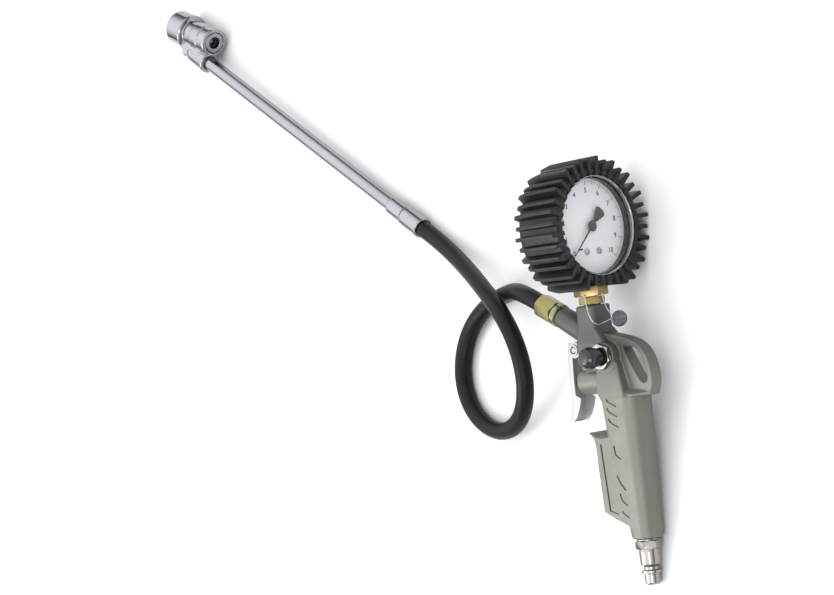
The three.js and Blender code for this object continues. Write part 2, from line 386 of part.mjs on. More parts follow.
// plate in the (z, y) plane between x0 and x1
function cross(outline, x0, x1, holes = []) {
  const b = plate(outline.map(q => [-q[0], q[1]]), 0, x1 - x0, holes.map(h => h.map(q => [-q[0], q[1]])));
  const m = new THREE.Matrix4().set(0, 0, 1, x0, 0, 1, 0, 0, -1, 0, 0, 0, 0, 0, 0, 1);
  const g = b.getMesh(); const bg = new THREE.BufferGeometry();
  bg.setAttribute('position', new THREE.BufferAttribute(Float32Array.from(g.vertProperties), 3));
  bg.setIndex(new THREE.BufferAttribute(Uint32Array.from(g.triVerts), 1));
  return solid(bg, m);
}
const pinionOutline = gearOutline(PIN_R, TEETH, 0, TEETH, 0.28, 0.5, secDir + Math.PI + Math.PI / TEETH, true);
put(gun, 'pointer_arbor', rod(0.95, -20.9, -6.6, gx, X, 12).add(cross(pinionOutline, -17.2, -15.4)), 'steel');
const secTeeth = gearOutline(SEC_R, TEETH * 8, -1, 8, 0.28, 0.5, secDir, false);
const secOut = [...secTeeth.map(p => [secPivot[1] + p[0], secPivot[0] + p[1]])];
const back = secDir + Math.PI;
const web = [[2.2, -1.3], [7.6, -0.16], [7.6, 0.16], [2.2, 1.3]]
  .map(([r, t]) => [secPivot[1] + r * Math.cos(back + t), secPivot[0] + r * Math.sin(back + t)]);
put(gun, 'sector_gear', cross([...secOut, ...web], -16.9, -15.7, [circle(secPivot[1], secPivot[0], 1.1, 10)].map(h => h.reverse())), 'brass');
put(gun, 'sector_axle', rod(0.8, -20.9, -12.0, [0, secPivot[0], secPivot[1]], X, 10), 'steel');
const plateOut = [[-11.4, -16.0], [7.5, -16.0], [7.5, 7.0], [-11.4, 7.0]];   // (z, y)
const holesAt = (r) => [circle(0, 0, 1.3, 10).reverse(), circle(secPivot[1], secPivot[0], 1.1, 10).reverse()];
put(gun, 'movement_plate_front', cross(plateOut, -13.6, -12.8, [...holesAt(), circle(dx[1][1], dx[1][0], 1.5, 10).reverse(), circle(dx[2][1], dx[2][0], 1.5, 10).reverse()]), 'brass');
put(gun, 'movement_plate_rear', cross(plateOut, -20.2, -19.4, holesAt()), 'brass');
put(gun, 'movement_pillar_left', rod(1.3, -19.1, -13.9, [0, 4.6, 5.2], X, 10), 'brass');
put(gun, 'movement_pillar_right', rod(1.3, -19.1, -13.9, [0, 4.6, -9.4], X, 10), 'brass');
// C-shaped pressure tube of flattened section
{
  const pts = [];
  for (let i = 0; i <= 20; i++) { const a = rad(-62 + 250 * i / 20); pts.push([-24.6, 21.5 * Math.sin(a), 21.5 * Math.cos(a)]); }
  const curve = new THREE.CatmullRomCurve3(pts.map(p => V(...p)));
  const s = new THREE.Shape([[-2.6, -0.9], [2.6, -0.9], [2.6, 0.9], [-2.6, 0.9]].map(p => new THREE.Vector2(p[1], p[0])));
  put(gun, 'bourdon_tube', solid(new THREE.ExtrudeGeometry(s, { steps: 24, extrudePath: curve, bevelEnabled: false })), 'brass');
}

// rubber buffer with long and short fins that run over its side and round onto its face
let buf = turned([[BUFFER_OPEN_R, -1.2], [BUFFER_OPEN_R, -0.6], [BUFFER_BASE_R - 1.4, -0.6], [BUFFER_BASE_R, -2.5], [BUFFER_BASE_R, -33.6], [BUFFER_BASE_R - 1.2, -BUFFER_DEPTH],
  [24.0, -BUFFER_DEPTH], [24.0, -33.6], [24.6, -31.9], [31.6, -31.9], [31.6, -1.5]], gx, X, FINS);
{
  const f = (front, rear) => [[-33.2, 34.4], [-34.2, 35.6], [-33.8, rear], [-25.0, front - 0.5], [0.7, front], [1.1, front - 0.3],
    [0.9, 38.0], [0.3, 33.5], [0.0, 30.3], [-0.42, 30.25], [-0.9, 31.5], [-0.9, 33.0], [-2.2, 34.4]];
  for (let i = 0; i < FINS; i++) {
    const a = 2 * Math.PI * (i + 0.5) / FINS;
    const fin = plate(i % 2 ? f(...FIN_LONG) : f(...FIN_SHORT), -1.25, 1.25);
    const m = new THREE.Matrix4().makeRotationX(a);
    const g = fin.getMesh(); const bg = new THREE.BufferGeometry();
    bg.setAttribute('position', new THREE.BufferAttribute(Float32Array.from(g.vertProperties), 3));
    bg.setIndex(new THREE.BufferAttribute(Uint32Array.from(g.triVerts), 1));
    buf = buf.add(solid(bg, m));
  }
}
buf = buf.subtract(rod(11.2, -44, -25, stem, Y, 20));
buf = buf.subtract(plate([[-40, -50], [5, -50], [5, -35.8], [-40, -35.8]], -12.6, 12.6));   // no fins over the stem
put(gun, 'gauge_buffer', buf, 'rubber');

// sealing wire with its lead disc
put(gun, 'seal_wire', tube([[1.2, -56.4, 0.2], [-2.0, -57.4, 0.6], [-4.9, -58.8, 2.8], [-5.6, -59.4, 6.4], [-6.6, -57.4, 9.2], [-8.4, -52.6, 10.2], [-9.4, -47.6, 10.0], [-9.7, -43.4, 10.4], [-9.8, -41.0, 10.9]], 0.45, 6, 24), 'wire');
put(gun, 'lead_seal', turned([[0, -2.1], [4.2, -2.1], [4.75, -1.5], [4.75, 1.5], [4.2, 2.1], [0, 2.1]], [5.9, -57.2, -0.8], [0.72, 0.1, 0.69], 24)
  .subtract(rod(4.9, -2.2, 2.2, [9.9, -90, 0], Y, 8)), 'lead');

// ------------------------------------------------------------- lay it down
gun.rotation.x = rad(LIE);
gun.position.set(0, 0, LIFT);
lying.add(gun);

// ============================================================== hose and tube
const E = HOSE[HOSE.length - 1];
const tdir = V(...TUBE_END).sub(V(...E)).normalize();
const TD = [tdir.x, tdir.y, tdir.z];
const from = (o, d, s) => [o[0] + d[0] * s, o[1] + d[1] * s, o[2] + d[2] * s];
put(lying, 'hose', tube(HOSE, HOSE_R, 10, 34), 'hose');
const tubeLen = V(...TUBE_END).sub(V(...E)).length();
put(lying, 'end_ferrule', turned([[3.3, 0.3], [6.9, 0.3], [7.3, 1.0], [7.3, 19.6], [6.6, 20.6], [3.3, 20.6]], E, TD, 20), 'chrome');
put(lying, 'end_collar', turned([[2.0, 3.0], [3.0, 3.0], [3.0, 20.9], [6.6, 20.9], [6.6, 36.6], [6.0, 37.2], [5.6, 37.2], [5.6, 26.0], [2.0, 26.0]], E, TD, 20), 'chrome');
put(lying, 'extension_tube', turned([[3.6, 26.4], [TUBE_R, 26.4], [TUBE_R, tubeLen + 12], [3.6, tubeLen + 12]], E, TD, 44), 'chrome');

// ====================================================================== chuck
const H = CHUCK_MID, C1 = CHUCK_DIR, C1N = [-C1[0], -C1[1], 0], TDN = [-TD[0], -TD[1], -TD[2]];
const F = CHUCK_HALF - 0.4;
let chuck = all(
  turned([[0, -F], [FOOT_A_R - 1.0, -F], [FOOT_A_R - 0.3, -F + 0.3], [FOOT_A_R, -F + 1.0], [FOOT_A_R, -7.9], [FOOT_A_R - 0.3, -7.2], [FOOT_A_R - 1.0, -6.6], [FOOT_B_R + 0.2, -5.9], [FOOT_B_R - 0.6, -5.6], [FOOT_B_R - 0.8, -5.2],
    [FOOT_B_R - 0.8, 4.0], [FOOT_B_R - 0.35, 4.3], [FOOT_B_R, 4.9], [FOOT_B_R, 13.8], [FOOT_B_R - 0.8, 14.3], [FOOT_B_R - 0.8, 15.3], [FOOT_B_R, 15.8], [FOOT_B_R, F - 1.2], [FOOT_B_R - 0.3, F - 0.4], [FOOT_B_R - 0.9, F], [0, F]], H, C1, 48),
  turned([[0, 0], [6.9, 0], [7.7, 0.35], [8.2, 1.2], [8.2, 19.6], [7.8, 21.8], [6.6, 24.0], [4.6, 25.2], [0, 25.4]], from(TUBE_END, TD, -0.6), TD, 36),
);
{
  // web that joins the boss to the barrels
  const e2 = [C1[1], -C1[0], 0];
  const at = (u, v) => [H[0] + C1[0] * u + e2[0] * v, H[1] + C1[1] * u + e2[1] * v];
  chuck = chuck.add(plate([at(-9, 4), at(14, 4), at(19, 12), at(12, 17), at(-3, 18), at(-8, 12)].reverse(), 5.6, 20.4, [], 1.6));
}
chuck = chuck.subtract(rod(5.6, -2, 13, TUBE_END, TD, 20)).subtract(rod(3.0, 0, 18, TUBE_END, TD, 14));
chuck = chuck.subtract(rod(4.7, -CHUCK_HALF - 1, -CHUCK_HALF + 10, H, C1, 24)).subtract(rod(8.4, -CHUCK_HALF - 1, -CHUCK_HALF + 7.6, H, C1, 36));
chuck = chuck.subtract(rod(4.7, CHUCK_HALF - 10, CHUCK_HALF + 1, H, C1, 24)).subtract(rod(8.1, CHUCK_HALF - 7.6, CHUCK_HALF + 1, H, C1, 36));
chuck = chuck.subtract(rod(3.4, -17, -5.4, H, C1, 18)).subtract(rod(3.4, 5.4, 17, H, C1, 18)).subtract(rod(1.8, -6, 6, H, C1, 14));
chuck = chuck.subtract(rod(1.8, 0, 19, [H[0] + C1[0] * -1 + 0, H[1] + C1[1] * -1, H[2]], [C1[1], -C1[0], 0], 12));
put(lying, 'chuck_body', chuck, 'chrome');
// screwed end pieces that hold the rubber washers
const nut = R => [[4.4, 0.5], [4.9, 0], [R - 0.9, 0], [R - 0.3, 0.6], [R - 0.3, 4.2], [4.4, 4.2]];
put(lying, 'foot_a_nut', turned(nut(8.4), from(H, C1, -CHUCK_HALF), C1, 36), 'chrome');
put(lying, 'foot_b_nut', turned(nut(8.1), from(H, C1, CHUCK_HALF), C1N, 36), 'chrome');
put(lying, 'foot_a_washer', ring(3.4, 7.9, -CHUCK_HALF + 4.5, -CHUCK_HALF + 7.3, H, C1, 32), 'rubber');
put(lying, 'foot_b_washer', ring(3.4, 7.1, CHUCK_HALF - 7.2, CHUCK_HALF - 4.5, H, C1, 32), 'rubber');
const pinProfile = [[0, 5.0], [1.1, 5.0], [1.1, 11.2], [2.9, 11.2], [2.9, 12.2], [1.1, 12.2], [1.1, 16.2], [0, 16.2]];
put(lying, 'foot_a_pin', turned(pinProfile, from(H, C1, -CHUCK_HALF), C1, 14), 'brass');
put(lying, 'foot_b_pin', turned(pinProfile, from(H, C1, CHUCK_HALF), C1N, 14), 'brass');
put(lying, 'foot_a_spring', spring(2.3, 0.35, 12.8, 19.2, 4, from(H, C1, -CHUCK_HALF), C1), 'steel');
put(lying, 'foot_b_spring', spring(2.3, 0.35, 12.8, 19.2, 4, from(H, C1, CHUCK_HALF), C1N), 'steel');

// ---------------------------------------------------- centre it on the plane
// the box of everything but the hose and what hangs on its far end is centred on x = y = 0
const onHose = ['hose', 'end_ferrule', 'end_collar', 'extension_tube', 'chuck_body', 'foot_a_nut', 'foot_b_nut', 'foot_a_washer', 'foot_b_washer', 'foot_a_pin', 'foot_b_pin', 'foot_a_spring', 'foot_b_spring'];
lying.updateMatrixWorld(true);
const box = new THREE.Box3();
lying.traverse(o => {
  if (!o.isMesh || onHose.includes(o.name)) return;
  const p = o.geometry.attributes.position, v = new THREE.Vector3();
  for (let i = 0; i < p.count; i++) { v.fromBufferAttribute(p, i).applyMatrix4(o.matrixWorld); box.expandByPoint(v); }
});
lying.position.set(-(box.min.x + box.max.x) / 2, -(box.min.y + box.max.y) / 2, -box.min.z);
root.add(lying);
root.updateMatrixWorld(true);
export default root;
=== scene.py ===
import json
import math
import bpy
import bmesh
import numpy as np
from mathutils import Matrix, Quaternion, Vector, noise


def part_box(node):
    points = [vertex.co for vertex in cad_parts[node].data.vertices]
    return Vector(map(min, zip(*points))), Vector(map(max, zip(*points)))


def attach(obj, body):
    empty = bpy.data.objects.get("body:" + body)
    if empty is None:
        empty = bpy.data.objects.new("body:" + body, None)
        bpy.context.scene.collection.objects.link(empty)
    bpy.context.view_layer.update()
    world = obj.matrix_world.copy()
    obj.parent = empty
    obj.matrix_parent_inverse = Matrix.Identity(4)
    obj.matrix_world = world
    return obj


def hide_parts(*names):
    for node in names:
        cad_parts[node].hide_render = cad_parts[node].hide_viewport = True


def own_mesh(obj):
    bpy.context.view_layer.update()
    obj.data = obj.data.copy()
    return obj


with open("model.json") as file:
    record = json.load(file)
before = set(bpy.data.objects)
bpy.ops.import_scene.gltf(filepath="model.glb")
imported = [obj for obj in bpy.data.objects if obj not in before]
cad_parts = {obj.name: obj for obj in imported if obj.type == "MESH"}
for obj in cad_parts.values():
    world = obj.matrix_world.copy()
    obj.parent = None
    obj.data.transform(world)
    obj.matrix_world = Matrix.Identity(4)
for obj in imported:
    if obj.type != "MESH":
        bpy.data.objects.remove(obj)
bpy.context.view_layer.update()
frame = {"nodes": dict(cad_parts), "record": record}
NODES = frame["nodes"]

# ------------------------------------------------------------------ the two frames
# GUN takes the gun's own millimetres (x to the rear, y up the gauge stem, z to the left side)
# to the row frame; LAY takes the laid-out millimetres of the hose, tube and chuck there.
lo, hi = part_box("gauge_dial")
LIE, LIFT = math.radians(9.76192), 41.9
SH = Vector(((lo[0] + hi[0]) * 500 + 9.05, (lo[1] + hi[1]) * 500, (lo[2] + hi[2]) * 500 - LIFT))
MM = 0.001
LAY = Matrix.Scale(MM, 4) @ Matrix.Translation(SH)
GUN = LAY @ Matrix.Translation((0, 0, LIFT)) @ Matrix.Rotation(LIE, 4, "X")
scene = bpy.context.scene
scene.view_settings.view_transform = "Standard"
TAU = 2 * math.pi
rad = math.radians

# ------------------------------------------------------------------ camera
cam_data = bpy.data.cameras.new("camera")
cam = bpy.data.objects.new("camera", cam_data)
scene.collection.objects.link(cam)
R_, U_, C_ = (0.64987804, 0.00709741, -0.76000537), (0.08378003, 0.99319366, 0.08091509), (0.75540681, -0.11625821, 0.64486013)
P_ = (Vector((1015.993, -212.116, 1053.46)) + SH) * MM
cam.matrix_world = Matrix(((R_[0], U_[0], C_[0], P_[0]), (R_[1], U_[1], C_[1], P_[1]), (R_[2], U_[2], C_[2], P_[2]), (0, 0, 0, 1)))
cam_data.sensor_width = 36.0
cam_data.lens = 2400.0 / 834.0 * 36.0
cam_data.clip_start = 0.05
cam_data.clip_end = 20.0
scene.camera = cam


# ------------------------------------------------------------------ materials
def new_mat(name):
    m = bpy.data.materials.new(name)
    m.use_nodes = True
    nt = m.node_tree
    nt.nodes.clear()
    out = nt.nodes.new("ShaderNodeOutputMaterial")
    b = nt.nodes.new("ShaderNodeBsdfPrincipled")
    nt.links.new(b.outputs[0], out.inputs[0])
    tc = nt.nodes.new("ShaderNodeTexCoord")
    return m, nt, b, tc.outputs["Object"]


def n_noise(nt, co, scale, detail=4.0, rough=0.55, stretch=None, distortion=0.0):
    src = co
    if stretch is not None:
        mp = nt.nodes.new("ShaderNodeMapping")
        mp.inputs["Scale"].default_value = stretch
        nt.links.new(co, mp.inputs["Vector"])
        src = mp.outputs[0]
    n = nt.nodes.new("ShaderNodeTexNoise")
    n.inputs["Scale"].default_value = scale
    n.inputs["Detail"].default_value = detail
    n.inputs["Roughness"].default_value = rough
    n.inputs["Distortion"].default_value = distortion
    nt.links.new(src, n.inputs["Vector"])
    return n.outputs["Fac"]


def n_ramp(nt, fac, stops):
    r = nt.nodes.new("ShaderNodeValToRGB")
    el = r.color_ramp.elements
    while len(el) > len(stops):
        el.remove(el[-1])
    while len(el) < len(stops):
        el.new(0.5)
    for e, (p, c) in zip(el, stops):
        e.position = p
        e.color = (*c, 1.0) if len(c) == 3 else c
    nt.links.new(fac, r.inputs[0])
    return r.outputs[0]


def n_range(nt, fac, a, b, lo=0.35, hi=0.65):
    r = nt.nodes.new("ShaderNodeMapRange")
    r.inputs["From Min"].default_value = lo
    r.inputs["From Max"].default_value = hi
    r.inputs["To Min"].default_value = a
    r.inputs["To Max"].default_value = b
    nt.links.new(fac, r.inputs["Value"])
    return r.outputs[0]


def n_bump(nt, b, height, strength, distance, below=None):
    n = nt.nodes.new("ShaderNodeBump")
    n.inputs["Strength"].default_value = strength
    n.inputs["Distance"].default_value = distance
    nt.links.new(height, n.inputs["Height"])
    if below is not None:
        nt.links.new(below, n.inputs["Normal"])
    nt.links.new(n.outputs[0], b.inputs["Normal"])
    return n.outputs[0]


def shade(c, k):
    return tuple(min(1.0, max(0.0, x * k)) for x in c)


def plain(name, colour, rough, metal=0.0, vary=0.12, vscale=60.0, rvary=0.05, bump=0.0, bscale=1500.0, bdist=0.0001, stretch=None, coat=0.0, spec=0.5, tint=None):
    """a surface with colour drift, roughness drift and a fine relief"""
    m, nt, b, co = new_mat(name)
    f = n_noise(nt, co, vscale, 5.0, 0.6)
    c2 = tint if tint is not None else shade(colour, 1 + vary)
    nt.links.new(n_ramp(nt, f, [(0.3, shade(colour, 1 - vary)), (0.5, colour), (0.72, c2)]), b.inputs["Base Color"])
    f2 = n_noise(nt, co, vscale * 4.3, 6.0, 0.7, stretch)
    nt.links.new(n_range(nt, f2, max(0.01, rough - rvary), rough + rvary), b.inputs["Roughness"])
    b.inputs["Metallic"].default_value = metal
    b.inputs["Specular IOR Level"].default_value = spec
    if coat:
        b.inputs["Coat Weight"].default_value = coat
        b.inputs["Coat Roughness"].default_value = 0.12
    if bump:
        n_bump(nt, b, n_noise(nt, co, bscale, 3.0, 0.6, stretch), bump, bdist)
    return m


M = {}
M["cast"] = plain("cast_satin", (0.130, 0.130, 0.110), 0.45, 0.30, 0.05, 28.0, 0.05, 0.25, 1400.0, 0.00006)
# painted shade: the cast colour is scaled darker round the tower and spout than on the grip, standing in for the shade
# that falls there
for n_ in [n_ for n_ in M["cast"].node_tree.nodes if n_.type == "BSDF_PRINCIPLED"]:
    cnt = M["cast"].node_tree
    cco = [q for q in cnt.nodes if q.type == "TEX_COORD"][0].outputs["Object"]
    cxyz = cnt.nodes.new("ShaderNodeSeparateXYZ")
    cnt.links.new(cco, cxyz.inputs[0])
    # painted shade: full cast colour on the grip, falling smoothly to 0.42 of it up the tower and spout
    painted_shade_by_height = cnt.nodes.new("ShaderNodeMapRange")
    painted_shade_by_height.interpolation_type = "SMOOTHSTEP"
    for k_, v_ in (("From Min", -0.012), ("From Max", 0.022), ("To Min", 1.0), ("To Max", 0.42)):
        painted_shade_by_height.inputs[k_].default_value = v_
    cnt.links.new(cxyz.outputs["Y"], painted_shade_by_height.inputs["Value"])
    painted_shade_scale = cnt.nodes.new("ShaderNodeVectorMath")
    painted_shade_scale.operation = "SCALE"
    cnt.links.new(n_.inputs["Base Color"].links[0].from_socket, painted_shade_scale.inputs[0])
    cnt.links.new(painted_shade_by_height.outputs[0], painted_shade_scale.inputs["Scale"])
    cnt.links.new(painted_shade_scale.outputs[0], n_.inputs["Base Color"])
M["rubber"] = plain("rubber_seal", (0.018, 0.018, 0.019), 0.55, 0.0, 0.25, 200.0, 0.08, 0.2, 3000.0, 0.00004)
M["buffer"] = plain("buffer_rubber", (0.012, 0.0116, 0.0124), 0.42, 0.0, 0.30, 90.0, 0.09, 0.35, 2200.0, 0.00006, spec=0.24)
M["hose"] = plain("hose_rubber", (0.0065, 0.0065, 0.007), 0.38, 0.0, 0.22, 120.0, 0.07, 0.25, 2600.0, 0.00005, spec=0.12)
M["black"] = plain("black_gloss", (0.010, 0.0105, 0.0135), 0.22, 0.0, 0.2, 80.0, 0.04, 0.05, 900.0, 0.00005, spec=0.45)
M["ink"] = plain("print_black", (0.012, 0.012, 0.014), 0.5, 0.0, 0.2, 300.0, 0.05)
M["chrome"] = plain("chrome_plate", (0.262, 0.265, 0.280), 0.11, 1.0, 0.03, 40.0, 0.035, 0.04, 260.0, 0.0002)
M["tube"] = plain("tube_plate", (0.255, 0.258, 0.273), 0.14, 1.0, 0.04, 30.0, 0.05, 0.10, 900.0, 0.00005)
M["trigger"] = plain("trigger_chrome", (0.335, 0.345, 0.35), 0.36, 0.20, 0.03, 40.0, 0.05, 0.05, 420.0, 0.0001)
M["nickel"] = plain("nickel_plate", (0.30, 0.283, 0.265), 0.17, 1.0, 0.05, 60.0, 0.05, 0.05, 500.0, 0.0001)
M["steel"] = plain("bright_steel", (0.33, 0.335, 0.345), 0.24, 1.0, 0.06, 90.0, 0.06, 0.10, 1600.0, 0.00004)
M["brass"] = plain("turned_brass", (0.275, 0.205, 0.088), 0.33, 1.0, 0.08, 70.0, 0.06, 0.18, 1800.0, 0.00005, (1, 14, 1))
M["copper"] = plain("washer_copper", (0.38, 0.20, 0.12), 0.32, 1.0, 0.08, 90.0, 0.06)
M["zinc"] = plain("yellow_zinc", (0.235, 0.205, 0.085), 0.22, 1.0, 0.10, 160.0, 0.06, 0.08, 900.0, 0.00005, tint=(0.165, 0.17, 0.068))
M["olive"] = plain("olive_zinc", (0.20, 0.205, 0.125), 0.24, 0.95, 0.12, 150.0, 0.06, 0.08, 900.0, 0.00005, tint=(0.26, 0.255, 0.13))
M["dial"] = plain("dial_white", (0.70, 0.685, 0.685), 0.42, 0.0, 0.03, 25.0, 0.05, spec=0.4)
M["lead"] = plain("seal_lead", (0.095, 0.095, 0.108), 0.48, 0.85, 0.30, 420.0, 0.10, 0.55, 900.0, 0.0003)
M["wire"] = plain("seal_wire", (0.50, 0.50, 0.49), 0.26, 1.0, 0.08, 400.0, 0.05)

mt, nt_, pb_, co_ = new_mat("lens_clear")
for n_ in list(nt_.nodes):
    if n_.type == "BSDF_PRINCIPLED":
        nt_.nodes.remove(n_)
out_ = [n_ for n_ in nt_.nodes if n_.type == "OUTPUT_MATERIAL"][0]
tr_ = nt_.nodes.new("ShaderNodeBsdfTransparent")
tr_.inputs[0].default_value = (0.97, 0.98, 0.985, 1)
gl_ = nt_.nodes.new("ShaderNodeBsdfGlossy")
gl_.inputs["Color"].default_value = (1, 1, 1, 1)
nt_.links.new(n_range(nt_, n_noise(nt_, co_, 90.0), 0.02, 0.05), gl_.inputs["Roughness"])
mx_ = nt_.nodes.new("ShaderNodeMixShader")
mx_.inputs[0].default_value = 0.025
nt_.links.new(tr_.outputs[0], mx_.inputs[1])
nt_.links.new(gl_.outputs[0], mx_.inputs[2])
nt_.links.new(mx_.outputs[0], out_.inputs[0])
M["lens"] = mt


def soften(key, radius):
    """the same surface with the facets of a turned solid rounded off in the shading"""
    m = M[key].copy()
    m.name = M[key].name + "_turned"
    nt = m.node_tree
    b = [n for n in nt.nodes if n.type == "BSDF_PRINCIPLED"][0]
    bv = nt.nodes.new("ShaderNodeBevel")
    bv.samples = 8
    bv.inputs["Radius"].default_value = radius
    bump = [n for n in nt.nodes if n.type == "BUMP"]
    if bump:
        nt.links.new(bv.outputs[0], bump[0].inputs["Normal"])
    else:
        nt.links.new(bv.outputs[0], b.inputs["Normal"])
    return m


for key_, r_ in (("chrome", 0.0011), ("tube", 0.0007), ("rubber", 0.0008), ("brass", 0.0004), ("steel", 0.0002), ("nickel", 0.0008)):
    M[key_ + "_turned"] = soften(key_, r_)


# ------------------------------------------------------------------ mesh tools
def make(name, verts, faces, frm):
    me = bpy.data.meshes.new(name)
    me.from_pydata([tuple(frm @ Vector(v)) for v in verts], [], faces)
    me.validate()
    me.update()
    o = bpy.data.objects.new(name, me)
    scene.collection.objects.link(o)
    return o


def out_facing(o):
    bm = bmesh.new()
    bm.from_mesh(o.data)
    bmesh.ops.remove_doubles(bm, verts=bm.verts, dist=1e-8)
    bmesh.ops.recalc_face_normals(bm, faces=bm.faces)
    if bm.calc_volume(signed=True) < 0:
        bmesh.ops.reverse_faces(bm, faces=bm.faces)
    bm.to_mesh(o.data)
    bm.free()
    return o


def settle(o):
    """apply the modifiers"""
    dg = bpy.context.evaluated_depsgraph_get()
    dg.update()
    me = bpy.data.meshes.new_from_object(o.evaluated_get(dg))
    o.modifiers.clear()
    old = o.data
    o.data = me
    bpy.data.meshes.remove(old)
    return o


def mod(o, kind, **kw):
    m = o.modifiers.new(kind.lower(), kind)
    for k, v in kw.items():
        setattr(m, k, v)
    return m


def smooth(o, angle=38):
    o.data.shade_smooth()
    o.data.set_sharp_from_angle(angle=rad(angle))
    return o


def boolean(a, b, op="DIFFERENCE", keep=False):
    mod(a, "BOOLEAN", object=b, operation=op, solver="MANIFOLD")
    settle(a)
    if not keep:
        bpy.data.objects.remove(b)
    return a


def join(name, objs):
    vs, fs = [], []
    for o in objs:
        base = len(vs)
        vs += [tuple(v.co) for v in o.data.vertices]
        fs += [tuple(base + i for i in p.vertices) for p in o.data.polygons]
        bpy.data.objects.remove(o)
    me = bpy.data.meshes.new(name)
    me.from_pydata(vs, [], fs)
    me.update()
    o = bpy.data.objects.new(name, me)
    scene.collection.objects.link(o)
    return o


def bevel(o, width, segments=2, angle=30):
    mod(o, "BEVEL", width=width * MM, segments=segments, limit_method="ANGLE", angle_limit=rad(angle), harden_normals=False, use_clamp_overlap=True)
    return settle(o)


def rounded(profile, closed, radius=0.25, n=4):
    """a profile of (r, h) or (r, h, corner radius) with its corners turned into arcs"""
    pts = []
    N = len(profile)
    for i, p in enumerate(profile):
        P = Vector(p[:2])
        fr = p[2] if len(p) > 2 else radius
        if not closed and i in (0, N - 1):
            pts.append(P)
            continue
        A, B = Vector(profile[i - 1][:2]), Vector(profile[(i + 1) % N][:2])
        u, v = A - P, B - P
        la, lb = u.length, v.length
        if fr <= 0 or la < 1e-6 or lb < 1e-6:
            pts.append(P)
            continue
        u /= la
        v /= lb
        ang = math.acos(max(-1, min(1, u.dot(v))))
        if ang > rad(171) or ang < rad(4):
            pts.append(P)
            continue
        d = min(fr / math.tan(ang / 2), 0.44 * la, 0.44 * lb)
        r = d * math.tan(ang / 2)
        c = P + (u + v).normalized() * (r / math.sin(ang / 2))
        a0, a1 = P + u * d - c, P + v * d - c
        s = 0.05
        if la - d > 0.3:
            pts.append(P + u * (d + s))
        sweep = a0.angle_signed(a1)
        for k in range(n + 1):
            t = k / n
            q = Vector((a0.x, a0.y))
            q.rotate(Matrix.Rotation(-sweep * t, 2))
            pts.append(c + q)
        if lb - d > 0.3:
            pts.append(P + v * (d + s))
    return pts


def along(pos, dirn):
    q = Vector((0, 1, 0)).rotation_difference(Vector(dirn).normalized())
    return Matrix.Translation(Vector(pos)) @ q.to_matrix().to_4x4()


def lathe(name, profile, pos, dirn, frm, segs=96, closed=False, radius=0.25, n=4):
    pts = rounded(profile, closed, radius, n)
    T = frm @ along(pos, dirn)
    vs, rows = [], []
    for p in pts:
        if p.x < 1e-6:
            rows.append([len(vs)] * segs)
            vs.append((0, p.y, 0))
        else:
            row = []
            for k in range(segs):
                a = TAU * k / segs
                row.append(len(vs))
                vs.append((p.x * math.sin(a), p.y, p.x * math.cos(a)))
            rows.append(row)
    fs = []
    m = len(rows)
    for i in range(m if closed else m - 1):
        a, b = rows[i], rows[(i + 1) % m]
        for k in range(segs):
            k2 = (k + 1) % segs
            f = [a[k], a[k2], b[k2], b[k]]
            g = []
            for x in f:
                if x not in g:
                    g.append(x)
            if len(g) > 2:
                fs.append(g)
    return out_facing(make(name, vs, fs, T))


def hexa(name, af, h0, h1, pos, dirn, spin, frm, chamfer=0.9, low=True, high=True):
    R = af / math.sqrt(3)
    T = frm @ along(pos, dirn)
    vs = []
    for h in (h0, h1):
        for k in range(6):
            a = spin + TAU * k / 6
            vs.append((R * math.sin(a), h, R * math.cos(a)))
    fs = [[0, 1, 2, 3, 4, 5], [6, 7, 8, 9, 10, 11]] + [[k, (k + 1) % 6, 6 + (k + 1) % 6, 6 + k] for k in range(6)]
    o = out_facing(make(name, vs, fs, T))
    c, k = chamfer, R + 0.05
    prof = [(0, h0 - (0 if low else 1))]
    prof += [(R - c, h0), (k, h0 + c * 0.62)] if low else [(k, h0 - 1)]
    prof += [(k, h1 - c * 0.62), (R - c, h1)] if high else [(k, h1 + 1)]
    prof += [(0, h1 + (0 if high else 1))]
    cone = lathe(name + "_c", prof, pos, dirn, frm, 96, radius=0)
    return boolean(o, cone, "INTERSECT")


def slab(name, outline, z0, z1, frm):
    """a plate of constant thickness from an outline of (x, y)"""
    n = len(outline)
    vs = [(x, y, z0) for x, y in outline] + [(x, y, z1) for x, y in outline]
    fs = [list(range(n))[::-1], list(range(n, 2 * n))] + [[i, (i + 1) % n, n + (i + 1) % n, n + i] for i in range(n)]
    o = make(name, vs, fs, frm)
    bm = bmesh.new()
    bm.from_mesh(o.data)
    bmesh.ops.triangulate(bm, faces=[f for f in bm.faces if len(f.verts) > 4])
    bm.to_mesh(o.data)
    bm.free()
    return out_facing(o)


def stack(name, rings, frm, cap=True):
    """closed skin through rings of the same number of points, each a list of (x, y, z)"""
    n = len(rings[0])
    vs = [p for r in rings for p in r]
    fs = []
    for i in range(len(rings) - 1):
        for k in range(n):
            k2 = (k + 1) % n
            fs.append([i * n + k, i * n + k2, (i + 1) * n + k2, (i + 1) * n + k])
    if cap:
        fs.append(list(range(n))[::-1])
        fs.append([(len(rings) - 1) * n + k for k in range(n)])
    return out_facing(make(name, vs, fs, frm))


def curve_pts(pts, per=8, closed=False):
    """Catmull-Rom line through the points"""
    P = [Vector(p) for p in pts]
    n = len(P)
    res = []
    segs = n if closed else n - 1
    for i in range(segs):
        p1, p2 = P[i], P[(i + 1) % n]
        p0 = P[i - 1] if (closed or i > 0) else p1 * 2 - p2
        p3 = P[(i + 2) % n] if (closed or i + 2 < n) else p2 * 2 - p1
        for k in range(per):
            t = k / per
            res.append(0.5 * ((2 * p1) + (p2 - p0) * t + (2 * p0 - 5 * p1 + 4 * p2 - p3) * t * t + (3 * p1 - p0 - 3 * p2 + p3) * t ** 3))
    if not closed:
        res.append(P[-1])
    return res


